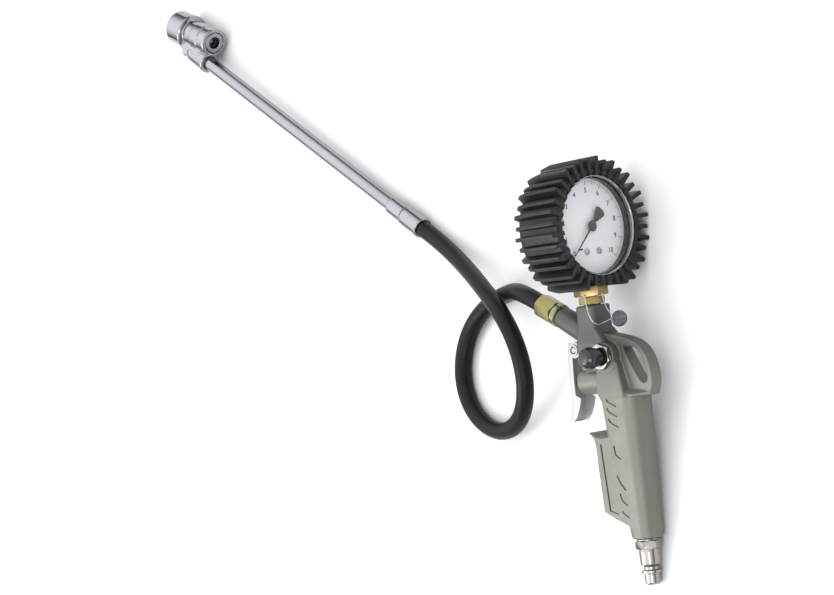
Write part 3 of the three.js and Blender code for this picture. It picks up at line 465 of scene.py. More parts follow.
def sweep(name, pts, radius, sides, frm, twist=0.0, section=None):
    """tube along a line; radius may be a function of the share of the way along"""
    P = [Vector(p) for p in pts]
    n = len(P)
    up = None
    rings = []
    L = [0.0]
    for i in range(1, n):
        L.append(L[-1] + (P[i] - P[i - 1]).length)
    for i in range(n):
        t = (P[min(i + 1, n - 1)] - P[max(i - 1, 0)]).normalized()
        if up is None:
            up = t.orthogonal().normalized()
        else:
            up = (up - t * up.dot(t)).normalized()
        side = t.cross(up)
        r = radius(L[i] / L[-1]) if callable(radius) else radius
        ring = []
        for k in range(sides):
            a = TAU * k / sides + twist * L[i]
            q = section(a) if section else 1.0
            ring.append(tuple(P[i] + (up * math.cos(a) + side * math.sin(a)) * r * q))
        rings.append(ring)
    return stack(name, rings, frm)


def piece(o, body, key, slot, *nodes, angle=38, keep_normals=False):
    if not keep_normals:
        smooth(o, angle)
    o.data.materials.clear()
    o.data.materials.append(M[key])
    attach(o, body)
    if nodes:
        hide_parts(*nodes)
    return o


def coil(name, rm, rw, h0, h1, turns, pos, dirn, frm, node):
    """a coil spring swept as a wire round an axis between two given heights"""
    n = turns * 24
    T = frm @ along(pos, dirn)
    pts = [(rm * math.cos(TAU * i / 24), h0 + (h1 - h0) * i / n, rm * math.sin(TAU * i / 24)) for i in range(n + 1)]
    o = piece(sweep(name, pts, rw, 8, T), "gun", "steel", "steel", node, angle=60)
    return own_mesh(o)


X, XN, Y, YN, Z, ZN = (1, 0, 0), (-1, 0, 0), (0, 1, 0), (0, -1, 0), (0, 0, 1), (0, 0, -1)

# ================================================================== hose
HOSE = [(-58.71, -42.52, 34.58), (-62.20, -40.64, 34.84), (-69.41, -37.23, 34.57), (-81.05, -33.39, 31.25), (-92.74, -31.32, 25.61),
        (-104.47, -30.65, 19.48), (-116.26, -31.20, 14.43), (-128.14, -33.23, 10.91), (-139.51, -37.33, 8.75),
        (-149.61, -43.95, 7.45), (-157.45, -53.09, 6.66), (-162.29, -64.23, 6.17), (-163.64, -76.37, 5.90),
        (-161.37, -88.46, 5.78), (-155.72, -99.42, 5.75), (-147.19, -108.32, 5.91), (-136.53, -114.46, 6.60),
        (-124.71, -117.35, 8.16), (-112.75, -116.82, 10.72), (-101.72, -112.91, 14.19), (-92.55, -105.98, 18.29),
        (-86.05, -96.63, 22.61), (-82.75, -85.64, 26.66), (-82.92, -73.93, 29.93), (-86.42, -62.47, 31.96),
        (-92.72, -52.02, 32.47), (-101.00, -42.91, 31.48), (-110.45, -35.12, 29.22), (-120.39, -28.28, 26.02),
        (-130.47, -21.96, 22.33), (-140.59, -15.81, 18.61), (-150.77, -9.62, 15.20), (-161.07, -3.30, 12.31),
        (-171.48, 3.13, 10.03), (-181.97, 9.64, 8.45), (-192.45, 16.15, 7.70), (-202.78, 22.60, 7.90)]
line = curve_pts(HOSE, 6)
hose = sweep("hose_skin", line, 5.7, 40, LAY)
piece(hose, "gun", "hose", "hose", "hose", angle=60)

# ================================================================== end fittings and tube
E = Vector(HOSE[-1])
T0 = Vector((-447.77, 175.26, 12.5))
TD = (T0 - E).normalized()
end_ferrule = lathe("sleeve", [(5.75, 0.3), (6.7, 0.3, 0.3), (7.3, 1.1, 0.5), (7.3, 19.4, 0.9), (6.3, 20.6, 0.3), (5.0, 20.6), (5.0, 3.0), (5.75, 3.0)], E, TD, LAY, 96, closed=True)
piece(end_ferrule, "gun", "chrome", "chrome", "end_ferrule")
end_collar = lathe("collar", [(5.6, 20.9), (6.55, 20.9, 0.3), (6.55, 36.3, 0.7), (5.9, 37.2, 0.25), (5.45, 37.2), (5.45, 22.0), (5.6, 22.0)], E, TD, LAY, 96, closed=True)
piece(end_collar, "gun", "chrome", "chrome", "end_collar")

# ================================================================== cast body
TOP, BOT = -98.5, -189.5


def g_front(t): return -6.5 + 6.2 * max(0.0, t - 0.29) / 0.71
def g_back(t): return 20.2 - t * 2.8
def g_half(t): return 12.0 - t * 2.7
def g_t(y): return (y - TOP) / (BOT - TOP)


def ring_xz(y, xf, xb, w, rf, rb, n=12):
    """rounded rectangle in (x, z) at height y"""
    ring = []
    for (cx, cz, r, a0) in ((xb - rb, w - rb, rb, 90), (xb - rb, -(w - rb), rb, 0), (xf + rf, -(w - rf), rf, -90), (xf + rf, w - rf, rf, -180)):
        for k in range(n):
            a = rad(a0 - 90 * k / (n - 1))
            ring.append((cx + r * math.cos(a), y, cz + r * math.sin(a)))
    return ring


def g_section(y, grow=0.0):
    t = g_t(y)
    return ring_xz(y, g_front(t) - grow, g_back(t) + grow, g_half(t) + grow, 2.5 + 5.0 * t, 0.86 * g_half(t), 14)


def col(name, levels):
    return stack(name, [ring_xz(*lv, 8) for lv in levels], GUN)


parts = []
layers = [-104.0 + (BOT + 104.0) * k / 24 for k in range(25)]
parts.append(stack("grip", [ring_xz(-100.3, -6.5, 19.0, 4.6, 1.6, 3.8, 14)] + [g_section(y) for y in layers[:-1]] + [g_section(BOT + 0.7), g_section(BOT, -0.7)], GUN))

sk_out = [(-21.4, -123.5), (-19.2, -125.6), (-17.0, -128.2), (-16.3, -131.5), (-16.2, -134.0), (-16.6, -148.9), (-16.7, -169.3), (-16.4, -172.7),
          (-8.7, -176.5), (4.0, -182.0), (6.0, -182.0), (6.0, -127.0), (-7.6, -127.3), (-11.2, -127.5), (-14.7, -126.7), (-18.5, -124.7)]


def sk_half(x, y):
    return g_half(g_t(y)) - 0.02 - 0.023 * (6.0 - x)


n_ = len(sk_out)
vs_ = [(x, y, -sk_half(x, y)) for x, y in sk_out] + [(x, y, sk_half(x, y)) for x, y in sk_out]
fs_ = [list(range(n_))[::-1], list(range(n_, 2 * n_))] + [[i, (i + 1) % n_, n_ + (i + 1) % n_, n_ + i] for i in range(n_)]
skirt = make("skirt", vs_, fs_, GUN)
bm_ = bmesh.new()
bm_.from_mesh(skirt.data)
bmesh.ops.triangulate(bm_, faces=[f for f in bm_.faces if len(f.verts) > 4])
bm_.to_mesh(skirt.data)
bm_.free()
parts.append(out_facing(skirt))


def flat_curve(pts, per=6, closed=True):
    return [(p.x, p.y) for p in curve_pts([(x, y, 0) for x, y in pts], per, closed)]


hook_out = [(-8.0, -62.0), (-3.0, -64.8), (4.0, -66.2), (13.0, -68.6), (21.0, -71.9), (26.4, -76.6), (29.6, -82.6),
            (31.2, -90.0), (31.1, -96.0), (29.6, -100.8), (26.6, -103.6)]
hook_line = flat_curve(hook_out, 5, False) + [(18.0, -106.0), (4.0, -106.0), (-6.0, -90.0), (-12.0, -72.0)]
hook = slab("hook", hook_line, -4.4, 4.4, GUN)
eye = flat_curve([(10.6, -75.0), (13.0, -74.2), (18.6, -74.7), (22.4, -77.0), (25.6, -82.4), (27.5, -89.6), (27.4, -94.4), (25.2, -96.3), (21.9, -95.2), (16.2, -86.1)], 6)
hook = boolean(hook, slab("eye", eye, -8, 8, GUN))
parts.append(hook)

parts.append(col("block", [(-86.5, -20.5, 9.0, 9.6, 1.2, 1.4), (-83.7, -21.8, 8.6, 9.6, 1.2, 1.4), (-78.5, -22.8, 5.4, 9.6, 1.2, 1.4), (-70.2, -22.9, 0.5, 9.6, 1.2, 1.4), (-61.5, -22.6, -6.4, 8.2, 1.2, 1.4)]))
parts.append(col("head", [(-105.0, -6.4, 13.2, 11.75, 1.2, 1.4), (-100.4, -9.0, 12.9, 11.6, 1.2, 1.4), (-90.7, -9.0, 10.3, 10.4, 1.2, 1.4), (-83.7, -9.0, 8.6, 9.55, 1.2, 1.4)]))
low = [(2.0, -92.0), (12.2, -98.6), (29.2, -101.9), (28.4, -104.2), (2.0, -104.2)]
high = [(2.0, -95.5), (9.4, -101.6), (18.4, -102.8), (18.4, -103.8), (2.0, -103.8)]
parts.append(stack("shoulder", [[(x, y, z) for x, y in o] for o, z in ((high, -9.6), (low, -4.2), (low, 4.2), (high, 9.6))], GUN))
SX = -14.5
tower_ring = []
for (sx, sz) in ((1, 1), (1, -1), (-1, -1), (-1, 1)):
    for k in range(7):
        a = {(1, 1): 90, (1, -1): 0, (-1, -1): -90, (-1, 1): -180}[(sx, sz)] - 90 * k / 6
        tower_ring.append((sx * 5.4 + 2.6 * math.cos(rad(a)), sz * 5.4 + 2.6 * math.sin(rad(a))))
parts.append(stack("tower", [[(SX + x * s, y, z * s) for x, z in tower_ring] for y, s in ((-47.3, 0.93), (-47.9, 0.985), (-48.4, 1.0), (-58, 1.0))] + [[(SX + x * s, y, z * q) for x, z in tower_ring] for y, s, q in ((-61, 1.01, 1.02), (-65, 1.03, 1.09), (-69, 1.05, 1.15), (-73, 1.05, 1.18), (-82, 1.05, 1.19))], GUN))
sa = rad(29)
SP = Vector((-math.cos(sa), math.sin(sa), 0))
ST = Vector((-42.0, -52.4, 0))
parts.append(lathe("spout", [(0, 0), (6.4, 0, 0.4), (6.9, -0.7, 0.3), (7.7, -30), (0, -30)], ST, SP, GUN, 96))
parts.append(lathe("valve_boss", [(0, 0.5), (7.1, 0.5, 0.5), (8.3, -0.8, 0.8), (8.3, -30), (0, -30)], (-28.0, -93.3, 0), XN, GUN, 96))
lug = [(-28.6 + 4.0 * math.cos(a), -73.4 + 4.0 * math.sin(a)) for a in [rad(90 + 180 * k / 16) for k in range(17)]] + [(-22.0, -79.0), (-20.0, -66.5), (-24.0, -66.0)]
parts.append(slab("lug", lug, -4.9, 4.9, GUN))
BX, BY = -0.6, -78.6
parts.append(lathe("pad", [(0, 2), (8.4, 2), (8.4, 10.6, 0.5), (0, 10.6)], (BX, BY, 0), Z, GUN, 96))
body = join("cast_body", parts)
VOX = 0.42
mod(body, "REMESH", mode="VOXEL", voxel_size=VOX * MM, adaptivity=0.0)
settle(body)
mod(body, "SMOOTH", factor=0.5, iterations=9)
settle(body)
cuts = [
    lathe("c", [(0, -13.2), (4.6, -13.2), (4.6, 1.5), (0, 1.5)], ST, SP, GUN, 64, radius=0),
    lathe("c", [(0, -60), (5.3, -60), (5.3, -45), (0, -45)], (SX, 0, 0), Y, GUN, 64, radius=0),
    lathe("c", [(0, -2), (5.8, -2), (5.8, 20.4), (0, 20.4)], (-28, -93.3, 0), X, GUN, 64, radius=0),
    lathe("c", [(0, -2), (5.5, -2), (5.5, 14.5), (0, 14.5)], (8, -190.5, 0), Y, GUN, 64, radius=0),
    lathe("c", [(0, -5.8), (4.3, -5.8), (4.3, 5.2), (6.3, 5.2), (6.3, 13), (0, 13)], (BX, BY, 0), Z, GUN, 64, radius=0),
    lathe("c", [(0, -7), (2.3, -7), (2.3, 7), (0, 7)], (-28.6, -73.4, 0), Z, GUN, 48, radius=0),
]
for c in cuts:
    boolean(body, c)
# engraved hooked marks and the bare badge recess on both sides of the grip


def groove(points, width, z_of, depth, side):
    """a trench along a line of (x, y), z_of gives the side's surface"""
    res = []
    P = [Vector((x, y)) for x, y in points]
    left, right = [], []
    for i, p in enumerate(P):
        t = (P[min(i + 1, len(P) - 1)] - P[max(i - 1, 0)]).normalized()
        nrm = Vector((-t.y, t.x)) * width / 2
        left.append(p + nrm)
        right.append(p - nrm)
    ring = left + right[::-1]
    a = [(q.x, q.y, side * (z_of(q.x, q.y) - depth)) for q in ring]
    b = [(q.x, q.y, side * (z_of(q.x, q.y) + 1.5)) for q in ring]
    o = stack("c", [a, b], GUN)
    return o


def side_z(x, y):
    return g_half(g_t(y)) - 0.02 - (0.045 * (-6.5 - x) if x < -6.5 else 0.0)


marks = [[(-1.0, -104.4), (-0.3, -105.6), (6.5, -108.8)], [(-1.8, -109.7), (0.1, -112.1), (6.2, -115.0)], [(-1.5, -116.1), (0.1, -118.4), (6.2, -121.4)],
         [(-0.2, -132.4), (0.5, -138.1), (4.0, -140.6)], [(-1.1, -150.5), (0.9, -155.0), (4.7, -159.5)], [(-0.7, -161.4), (0.3, -165.5), (4.4, -168.8)], [(-0.9, -172.3), (1.0, -173.9), (4.1, -176.0)]]
badge = [(-12.1, -131.2), (-3.3, -131.5), (-4.4, -174.3), (-11.7, -172.2)]
rim = [(-11.5, -131.3), (-11.1, -171.8), (-4.5, -173.7)]
for side in (1, -1):
    for mk in marks:
        boolean(body, groove(mk, 1.4, side_z, 0.75, side))
    a = [(x, y, side * (side_z(x, y) - 0.4)) for x, y in badge]
    b = [(x, y, side * (side_z(x, y) + 1.5)) for x, y in badge]
    boolean(body, stack("c", [a, b], GUN))
    boolean(body, groove(rim, 1.2, side_z, 1.0, side))
body.name = "cast_body"
smooth(body, 42)
piece(body, "gun", "cast", "cast", "gun_body", keep_normals=True)

# ================================================================== inlet nipple
IN = (8, 0, 0)
nh = hexa("nipple_hex", 14, -196.0, -190.95, IN, Y, rad(15), GUN, 1.0)
nb = lathe("nip", [(0, -217.5), (4.1, -217.5, 0.5), (4.9, -216.4, 0.4), (4.9, -210.9, 0.1), (6.3, -210.5, 0.3), (6.3, -208.9, 0.3), (4.7, -208.3, 0.2), (4.7, -206.8, 0.2), (6.5, -205.0, 0.5),
                   (6.6, -197.4, 0.4), (6.1, -195.7, 0.1), (5.1, -195.5, 0.1), (5.1, -190.2, 0), (5.1, -178, 0.3), (0, -178)], IN, Y, GUN, 96)
nip = boolean(nb, nh, "UNION")
nip = boolean(nip, lathe("c", [(0, -219), (3.4, -219), (3.0, -216.9), (3.0, -177), (0, -177)], IN, Y, GUN, 64, radius=0))
nip.name = "nipple"
bevel(nip, 0.18, 2, 28)
piece(nip, "gun", "nickel", "nickel", "inlet_nipple", angle=30)
w = lathe("nipple_washer", [(5.45, -190.65, 0.1), (7.2, -190.65, 0.25), (7.2, -189.85, 0.25), (5.45, -189.85, 0.1)], IN, Y, GUN, 96, closed=True)
piece(w, "gun", "nickel", "copper", "inlet_washer")

# ================================================================== trigger
PX, PY = -28.6, -73.4
t_front = flat_curve([(-33.3, -68.2), (-34.4, -74.0), (-35.2, -82.0), (-35.6, -90.0), (-36.1, -104.0), (-37.9, -111.5), (-40.6, -117.0)], 5, False)
t_rear = flat_curve([(-36.8, -117.6), (-32.6, -113.8), (-29.0, -107.0), (-27.8, -103.2)], 4, False) + [(-31.9, -101.0)] + flat_curve([(-31.9, -95.0), (-31.5, -86.0), (-30.9, -79.6)], 3, False)
t_eye = [(PX + 5 * math.cos(a), PY + 5 * math.sin(a)) for a in [rad(-118 + 246 * k / 24) for k in range(25)]]
tr = slab("trig", t_front + t_rear + t_eye, -6.5, 6.5, GUN)
inner = [(x + 1.2, y + (0.4 if y < -110 else 0)) for x, y in t_front] + [(-36.0, -121), (-18, -121), (-18, -62), (-31.6, -62)]
tr = boolean(tr, slab("c", inner, -5.3, 5.3, GUN))
tr = boolean(tr, lathe("c", [(0, -9), (2.3, -9), (2.3, 9), (0, 9)], (PX, PY, 0), Z, GUN, 48, radius=0))
tr.name = "trigger_sheet"
# the folded corners are rounded, the cut edges only broken
bm_ = bmesh.new()
bm_.from_mesh(tr.data)
bmesh.ops.remove_doubles(bm_, verts=bm_.verts, dist=1e-7)
bmesh.ops.dissolve_limit(bm_, angle_limit=rad(1.0), verts=bm_.verts, edges=bm_.edges)
Gi = GUN.inverted()
fold = []
for e in bm_.edges:
    if len(e.link_faces) != 2 or e.calc_face_angle(0) < rad(50):
        continue
    a, b = Gi @ e.verts[0].co, Gi @ e.verts[1].co
    if abs(abs(a.z) - 6.5) < 0.01 and abs(abs(b.z) - 6.5) < 0.01:
        def on_front(p): return min(math.hypot(p.x - x, p.y - y) for x, y in t_front) < 0.05
        if on_front(a) and on_front(b):
            fold.append(e)
bmesh.ops.bevel(bm_, geom=fold, offset=1.5 * MM, offset_type="OFFSET", segments=6, profile=0.5, affect="EDGES", clamp_overlap=True)
bm_.to_mesh(tr.data)
bm_.free()
bevel(tr, 0.22, 3, 35)
piece(tr, "trigger_body", "trigger", "chrome", "trigger", angle=32)
pin = lathe("trigger_axle", [(0, -7.3), (1.5, -7.3, 0.3), (2.0, -6.9, 0.3), (2.0, 6.9, 0.3), (1.5, 7.3, 0.3), (0, 7.3)], (PX, PY, 0), Z, GUN, 64)
piece(pin, "gun", "nickel", "steel", "trigger_pin")
clip = lathe("axle_clip", [(2.3, 6.8, 0.15), (3.6, 6.8, 0.15), (3.6, 7.3, 0.15), (2.3, 7.3, 0.15)], (PX, PY, 0), Z, GUN, 64, closed=True)
piece(clip, "gun", "nickel", "steel", "trigger_pin_clip")

# ================================================================== valve ends that show
VB = (-28.0, -93.3, 0)
vc = lathe("valve_sleeve", [(2.3, -0.4, 0.2), (5.1, -0.4, 0.3), (5.5, 0.1, 0.2), (5.5, 9.4), (3.9, 9.6), (3.9, 17.0), (5.5, 17.2), (5.5, 20.0), (3.4, 20.0), (3.0, 18.4), (2.9, 8.6), (2.3, 8.4), (2.3, 5.6), (3.2, 5.6), (3.2, 3.6), (2.3, 3.6)], VB, X, GUN, 72, closed=True, radius=0.1)
piece(vc, "gun", "brass", "brass", "valve_cartridge")
vs = lathe("valve_rod", [(0, -5.9), (1.3, -5.9, 0.4), (1.95, -5.2, 0.3), (1.95, 20.6, 0.1), (3.6, 20.6, 0.1), (3.6, 21.8, 0.1), (1.2, 21.8, 0.1), (1.2, 26.0, 0.2), (0, 26.0)], VB, X, GUN, 48)
piece(vs, "stem_body", "steel", "steel", "valve_stem")
coil("poppet_coil", 3.2, 0.4, 25.2, 38.6, 5, VB, X, GUN, "valve_spring")

# ================================================================== release valve
RB = (BX, BY, 0)
bush = hexa("bush", 14.4, 10.95, 14.2, RB, Z, rad(10), GUN, 0.9)
bush = boolean(bush, lathe("c", [(0, 6.6), (6.0, 6.6, 0.3), (6.0, 11.3), (0, 11.3)], RB, Z, GUN, 96), "UNION")
bush = boolean(bush, lathe("c", [(0, 6), (5.0, 6), (5.0, 13.6), (5.6, 14.6), (0, 14.6)], RB, Z, GUN, 96, radius=0))
bush.name = "release_nut"
bevel(bush, 0.16, 2, 28)
piece(bush, "gun", "nickel", "nickel", "release_bush", angle=30)
btn = lathe("release_knob", [(0, 9.4), (4.3, 9.4, 0.2), (4.6, 9.8, 0.2), (4.6, 16.7, 0.2), (5.8, 17.1, 0.3), (5.8, 19.6, 0.5), (6.75, 21.0, 0.7), (6.75, 23.2, 1.6), (6.0, 25.6, 2.2), (3.6, 27.6, 2.4), (0, 28.0)], RB, Z, GUN, 96, n=6)
btn = boolean(btn, lathe("c", [(0, 9), (1.9, 9), (1.9, 16), (0, 16)], RB, Z, GUN, 32, radius=0))
btn.name = "release_knob"
piece(btn, "release_body", "black", "black", "release_button")
coil("knob_coil", 2.9, 0.35, 4.2, 8.6, 3, RB, Z, GUN, "release_spring")

# ================================================================== hose nut and ferrule on the gun
hn = lathe("nut", [(0, -12.6), (4.3, -12.6, 0.2), (4.3, 0.3, 0.05), (6.6, 0.3, 0.3), (7.45, 0.95, 0.4), (7.45, 4.0, 0.5), (6.7, 4.75, 0.3), (5.0, 4.9, 0.05), (5.0, 5.2, 0.05), (3.0, 5.2, 0.05), (3.0, 17.6, 0.1), (0, 17.6)], ST, SP, GUN, 96)
hn = boolean(hn, lathe("c", [(0, -14), (2, -14), (2, 18), (0, 18)], ST, SP, GUN, 32, radius=0))
hn.name = "outlet_nut"
piece(hn, "gun", "olive", "olive", "hose_nut")
fe = hexa("crimp", 13.4, 5.3, 18.4, ST, SP, rad(12), GUN, 1.0)
fe = boolean(fe, lathe("c", [(0, 4), (3.3, 4), (3.3, 18.9), (0, 18.9)], ST, SP, GUN, 48, radius=0))
fe = boolean(fe, lathe("c", [(0, 16.6), (5.75, 16.6), (5.75, 19), (0, 19)], ST, SP, GUN, 64, radius=0))
fe.name = "crimp_ferrule"
bevel(fe, 0.45, 4, 28)
piece(fe, "gun", "zinc", "zinc", "hose_ferrule", angle=32)

# ================================================================== gauge
STEM = (SX, 0, 0)
so = hexa("sock", 18.4, -41.9, -35.2, STEM, Y, rad(8), GUN, 1.1)
so = boolean(so, lathe("c", [(0, -36), (5.6, -36, 0.1), (5.6, -30.2, 0.2), (4.5, -29.8, 0.1), (4.5, -24), (0, -24)], STEM, Y, GUN, 72), "UNION")
so = boolean(so, slab("c", [(SX - 5.9, -29.0), (SX + 1.9, -29.0), (SX + 1.9, -22.5), (SX - 5.9, -22.5)], -6, 6, GUN), "UNION")
so = boolean(so, slab("c", [(SX - 13.4, -26.0), (SX - 4, -26.0), (SX - 4, -17.2), (SX - 13.4, -17.2)], -4.5, 4.5, GUN), "UNION")
so = boolean(so, lathe("c", [(0, -43), (3.4, -43), (3.4, -36.5), (0, -36.5)], STEM, Y, GUN, 48, radius=0))
so.name = "gauge_hex"
bevel(so, 0.16, 2, 28)
piece(so, "gun", "brass", "brass", "gauge_socket", angle=30)
ad = hexa("adap", 13.8, -46.9, -42.2, STEM, Y, rad(20), GUN, 0.8)
ad = boolean(ad, lathe("c", [(0, -57.8), (4.6, -57.8), (5.0, -57.2), (5.0, -46.6), (3.1, -46.4), (3.1, -37.0), (0, -37.0)], STEM, Y, GUN, 64, radius=0.05), "UNION")
ad.name = "gauge_stem"
bevel(ad, 0.14, 2, 28)
piece(ad, "gun", "brass", "brass", "gauge_adaptor", angle=30)
O3 = (0, 0, 0)
case = lathe("case_shell", [(31.2, -31.5, 0.8), (31.2, -6.2, 0.2), (30.1, -6.2, 0.2), (30.1, -30.4, 0.3), (4.0, -30.4, 0.1), (4.0, -31.5, 0.3)], O3, X, GUN, 128, closed=True)
case = boolean(case, lathe("c", [(0, -34), (6, -34), (6, -26), (0, -26)], STEM, Y, GUN, 48, radius=0))
case.name = "case_shell"
piece(case, "gun", "black", "black", "gauge_case")
bz = lathe("lens_ring", [(29.35, -2.4, 0.05), (29.35, -1.35, 0.4), (29.9, -0.75, 0.5), (30.35, -0.75, 0.5), (31.0, -1.7, 0.3), (31.35, -2.6, 0.2), (31.35, -5.9, 0.2), (29.8, -5.9, 0.1), (29.8, -2.6, 0.05)], O3, X, GUN, 144, closed=True)
piece(bz, "gun", "chrome", "black", "gauge_bezel")
gk = lathe("dial_wall", [(28.9, -8.3, 0.1), (29.7, -8.3, 0.1), (29.7, -4.4, 0.1), (28.9, -4.4, 0.1)], O3, X, GUN, 144, closed=True)
piece(gk, "gun", "black", "black", "lens_gasket")
ls = lathe("lens", [(0, -3.9), (29.4, -3.9, 0.2), (29.4, -2.95, 0.2), (0, -2.95)], O3, X, GUN, 144)
piece(ls, "gun", "lens", "lens", "gauge_lens")
dl = lathe("dial_plate", [(0, -9.4), (29.5, -9.4, 0.1), (29.5, -8.62, 0.1), (0, -8.62)], O3, X, GUN, 144)
for sy, sz in ((-15.2, 5.2), (-15.2, -5.2)):
    dl = boolean(dl, lathe("c", [(0, -10), (1.45, -10), (1.45, -8), (0, -8)], (0, sy, sz), X, GUN, 32, radius=0))
dl = boolean(dl, lathe("c", [(0, -10), (1.25, -10), (1.25, -8), (0, -8)], O3, X, GUN, 32, radius=0))
dl.name = "dial_plate"
piece(dl, "gun", "dial", "dial", "gauge_dial")
for tag, sy, sz in (("left", -15.2, 5.2), ("right", -15.2, -5.2)):
    sc = lathe("sc", [(0, -14), (1.1, -14), (1.1, -8.3, 0.05), (2.0, -8.3, 0.1), (2.0, -7.75, 0.35), (0, -7.35)], (0, sy, sz), X, GUN, 48)
    slot_ = slab("c", [(-2.4, -0.28), (2.4, -0.28), (2.4, 0.28), (-2.4, 0.28)], 0, 1, Matrix.Identity(4))
    slot_.data.transform(GUN @ Matrix.Translation((-7.75, sy, sz)) @ Matrix.Rotation(rad(90), 4, "Y") @ Matrix.Rotation(rad(38 if tag == "left" else -24), 4, "Z"))
    sc = boolean(sc, slot_)
    sc.name = "dial_rivet_" + tag
    bevel(sc, 0.06, 2, 30)
    piece(sc, "gun", "steel", "steel", "dial_screw_" + tag)

# printed scale: ticks and plain figures, raised by the thickness of the ink
PLANE = -8.62


def on_dial(right, up, h):
    return (PLANE + h, up, -right)


def dial_bar(r0, r1, deg, w, vs, fs):
    a = rad(deg)
    c, s = math.cos(a), math.sin(a)
    base = len(vs)
    for h in (-0.02, 0.035):
        for r, q in ((r0, -w / 2), (r1, -w / 2), (r1, w / 2), (r0, w / 2)):
            vs.append(on_dial(r * c - q * s, r * s + q * c, h))
    fs += [[base + 3, base + 2, base + 1, base], [base + 4, base + 5, base + 6, base + 7]] + [[base + k, base + (k + 1) % 4, base + 4 + (k + 1) % 4, base + 4 + k] for k in range(4)]


vs_, fs_ = [], []
STEPS = 10
for k in range(STEPS * 10 + 1):
    deg = 225 - 270 * k / (STEPS * 10)
    if k % 10 == 0:
        dial_bar(24.9, 28.4, deg, 0.38, vs_, fs_)
    elif k % 5 == 0:
        dial_bar(25.8, 28.4, deg, 0.28, vs_, fs_)
    else:
        dial_bar(26.6, 28.4, deg, 0.18, vs_, fs_)
ticks = out_facing(make("ticks", vs_, fs_, GUN))


def figure(text, right, up, size, bold=0.05):
    cu = bpy.data.curves.new("fig", "FONT")
    cu.body = text
    cu.size = size
    cu.align_x = "CENTER"
    cu.align_y = "CENTER"
    cu.extrude = 0.028
    cu.offset = bold
    cu.resolution_u = 3
    o = bpy.data.objects.new("fig", cu)
    scene.collection.objects.link(o)
    dg = bpy.context.evaluated_depsgraph_get()
    me = bpy.data.meshes.new_from_object(o.evaluated_get(dg))
    bpy.data.objects.remove(o)
    bpy.data.curves.remove(cu)
    q = bpy.data.objects.new("fig", me)
    scene.collection.objects.link(q)
    T = Matrix(((0, 0, 1, PLANE + 0.008), (0, 1, 0, up), (-1, 0, 0, -right), (0, 0, 0, 1)))
    me.transform(GUN @ T)
    return q


figs = []
for k in range(STEPS + 1):
    a = rad(225 - 270 * k / STEPS)
    figs.append(figure(str(k), 22.0 * math.cos(a), 22.0 * math.sin(a), 4.3, 0.09))
pr = join("dial_print", [ticks] + figs)
out_facing(pr)
piece(pr, "gun", "ink", "black")

# pointer and its hub
pa = rad(225)


def in_pointer(r, wv):
    c, s = math.cos(pa), math.sin(pa)
    return (r * c - wv * s, r * s + wv * c)


p_out = [(24.6, 0.16), (3.0, 0.62), (-3.6, 0.9), (-5.6, 1.6), (-8.6, 2.9), (-12.0, 4.0)] + [(-12.0 - 1.7 * math.cos(t), 4.0 * math.sin(t)) for t in [rad(72 - 144 * k / 10) for k in range(11)]] + [(-12.0, -4.0), (-8.6, -2.9), (-5.6, -1.6), (-3.6, -0.9), (3.0, -0.62), (24.6, -0.16)]
p_out = [in_pointer(r, wv) for r, wv in p_out]
T = Matrix(((0, 0, 1, 0), (0, 1, 0, 0), (-1, 0, 0, 0), (0, 0, 0, 1)))
pt = slab("pt", p_out, -6.85, -6.35, GUN @ T)
bevel(pt, 0.08, 2, 30)
pt = boolean(pt, lathe("c", [(0, -7.35), (1.7, -7.35, 0.1), (3.4, -6.6, 0.3), (3.4, -5.9, 0.35), (2.6, -5.55, 0.3), (0, -5.45)], O3, X, GUN, 64), "UNION")
pt = boolean(pt, lathe("c", [(0, -8), (1.15, -8), (1.15, -6.4), (0, -6.4)], O3, X, GUN, 32, radius=0))
pt.name = "needle"
piece(pt, "pointer_body", "ink", "black", "pointer", angle=30)

# ================================================================== rubber buffer
# a skin turned round the gauge axis whose profile swaps between the base and a fin
BASE = [(-1.45, 31.55), (-1.3, 31.4), (-1.0, 31.25), (-0.75, 31.4), (-0.6, 32.2), (-0.65, 33.6), (-0.95, 34.4), (-1.6, 34.95), (-2.6, 35.2), (-8.0, 35.2), (-16.0, 35.2), (-25.0, 35.2),
        (-29.5, 35.2), (-33.0, 35.1), (-34.0, 34.6), (-34.7, 33.7), (-35.0, 32.5)]


def fin(F, Q):
    return [(-1.45, 31.55), (-0.9, 31.0), (-0.42, 30.25), (0.0, 30.3), (0.3, 33.5), (0.85, F - 3.0), (1.1, F - 0.35), (0.85, F - 0.02), (0.3, F), (-8.0, F - 0.15), (-16.0, F - 0.32), (-25.0, F - 0.5),
            (-29.5, (F - 0.5 + Q) / 2), (-33.3, Q), (-33.8, Q - 0.45), (-34.2, 36.0), (-35.0, 32.5)]


LONG, SHORT = fin(42.0, 39.6), fin(40.4, 38.2)
INNER = [(-35.0, 28.0), (-35.0, 24.4), (-34.3, 24.0), (-33.0, 24.0), (-32.3, 24.5), (-31.9, 25.4), (-31.9, 31.55), (-31.0, 31.6), (-20.0, 31.6), (-10.0, 31.6), (-2.4, 31.6)]
FINS = 36
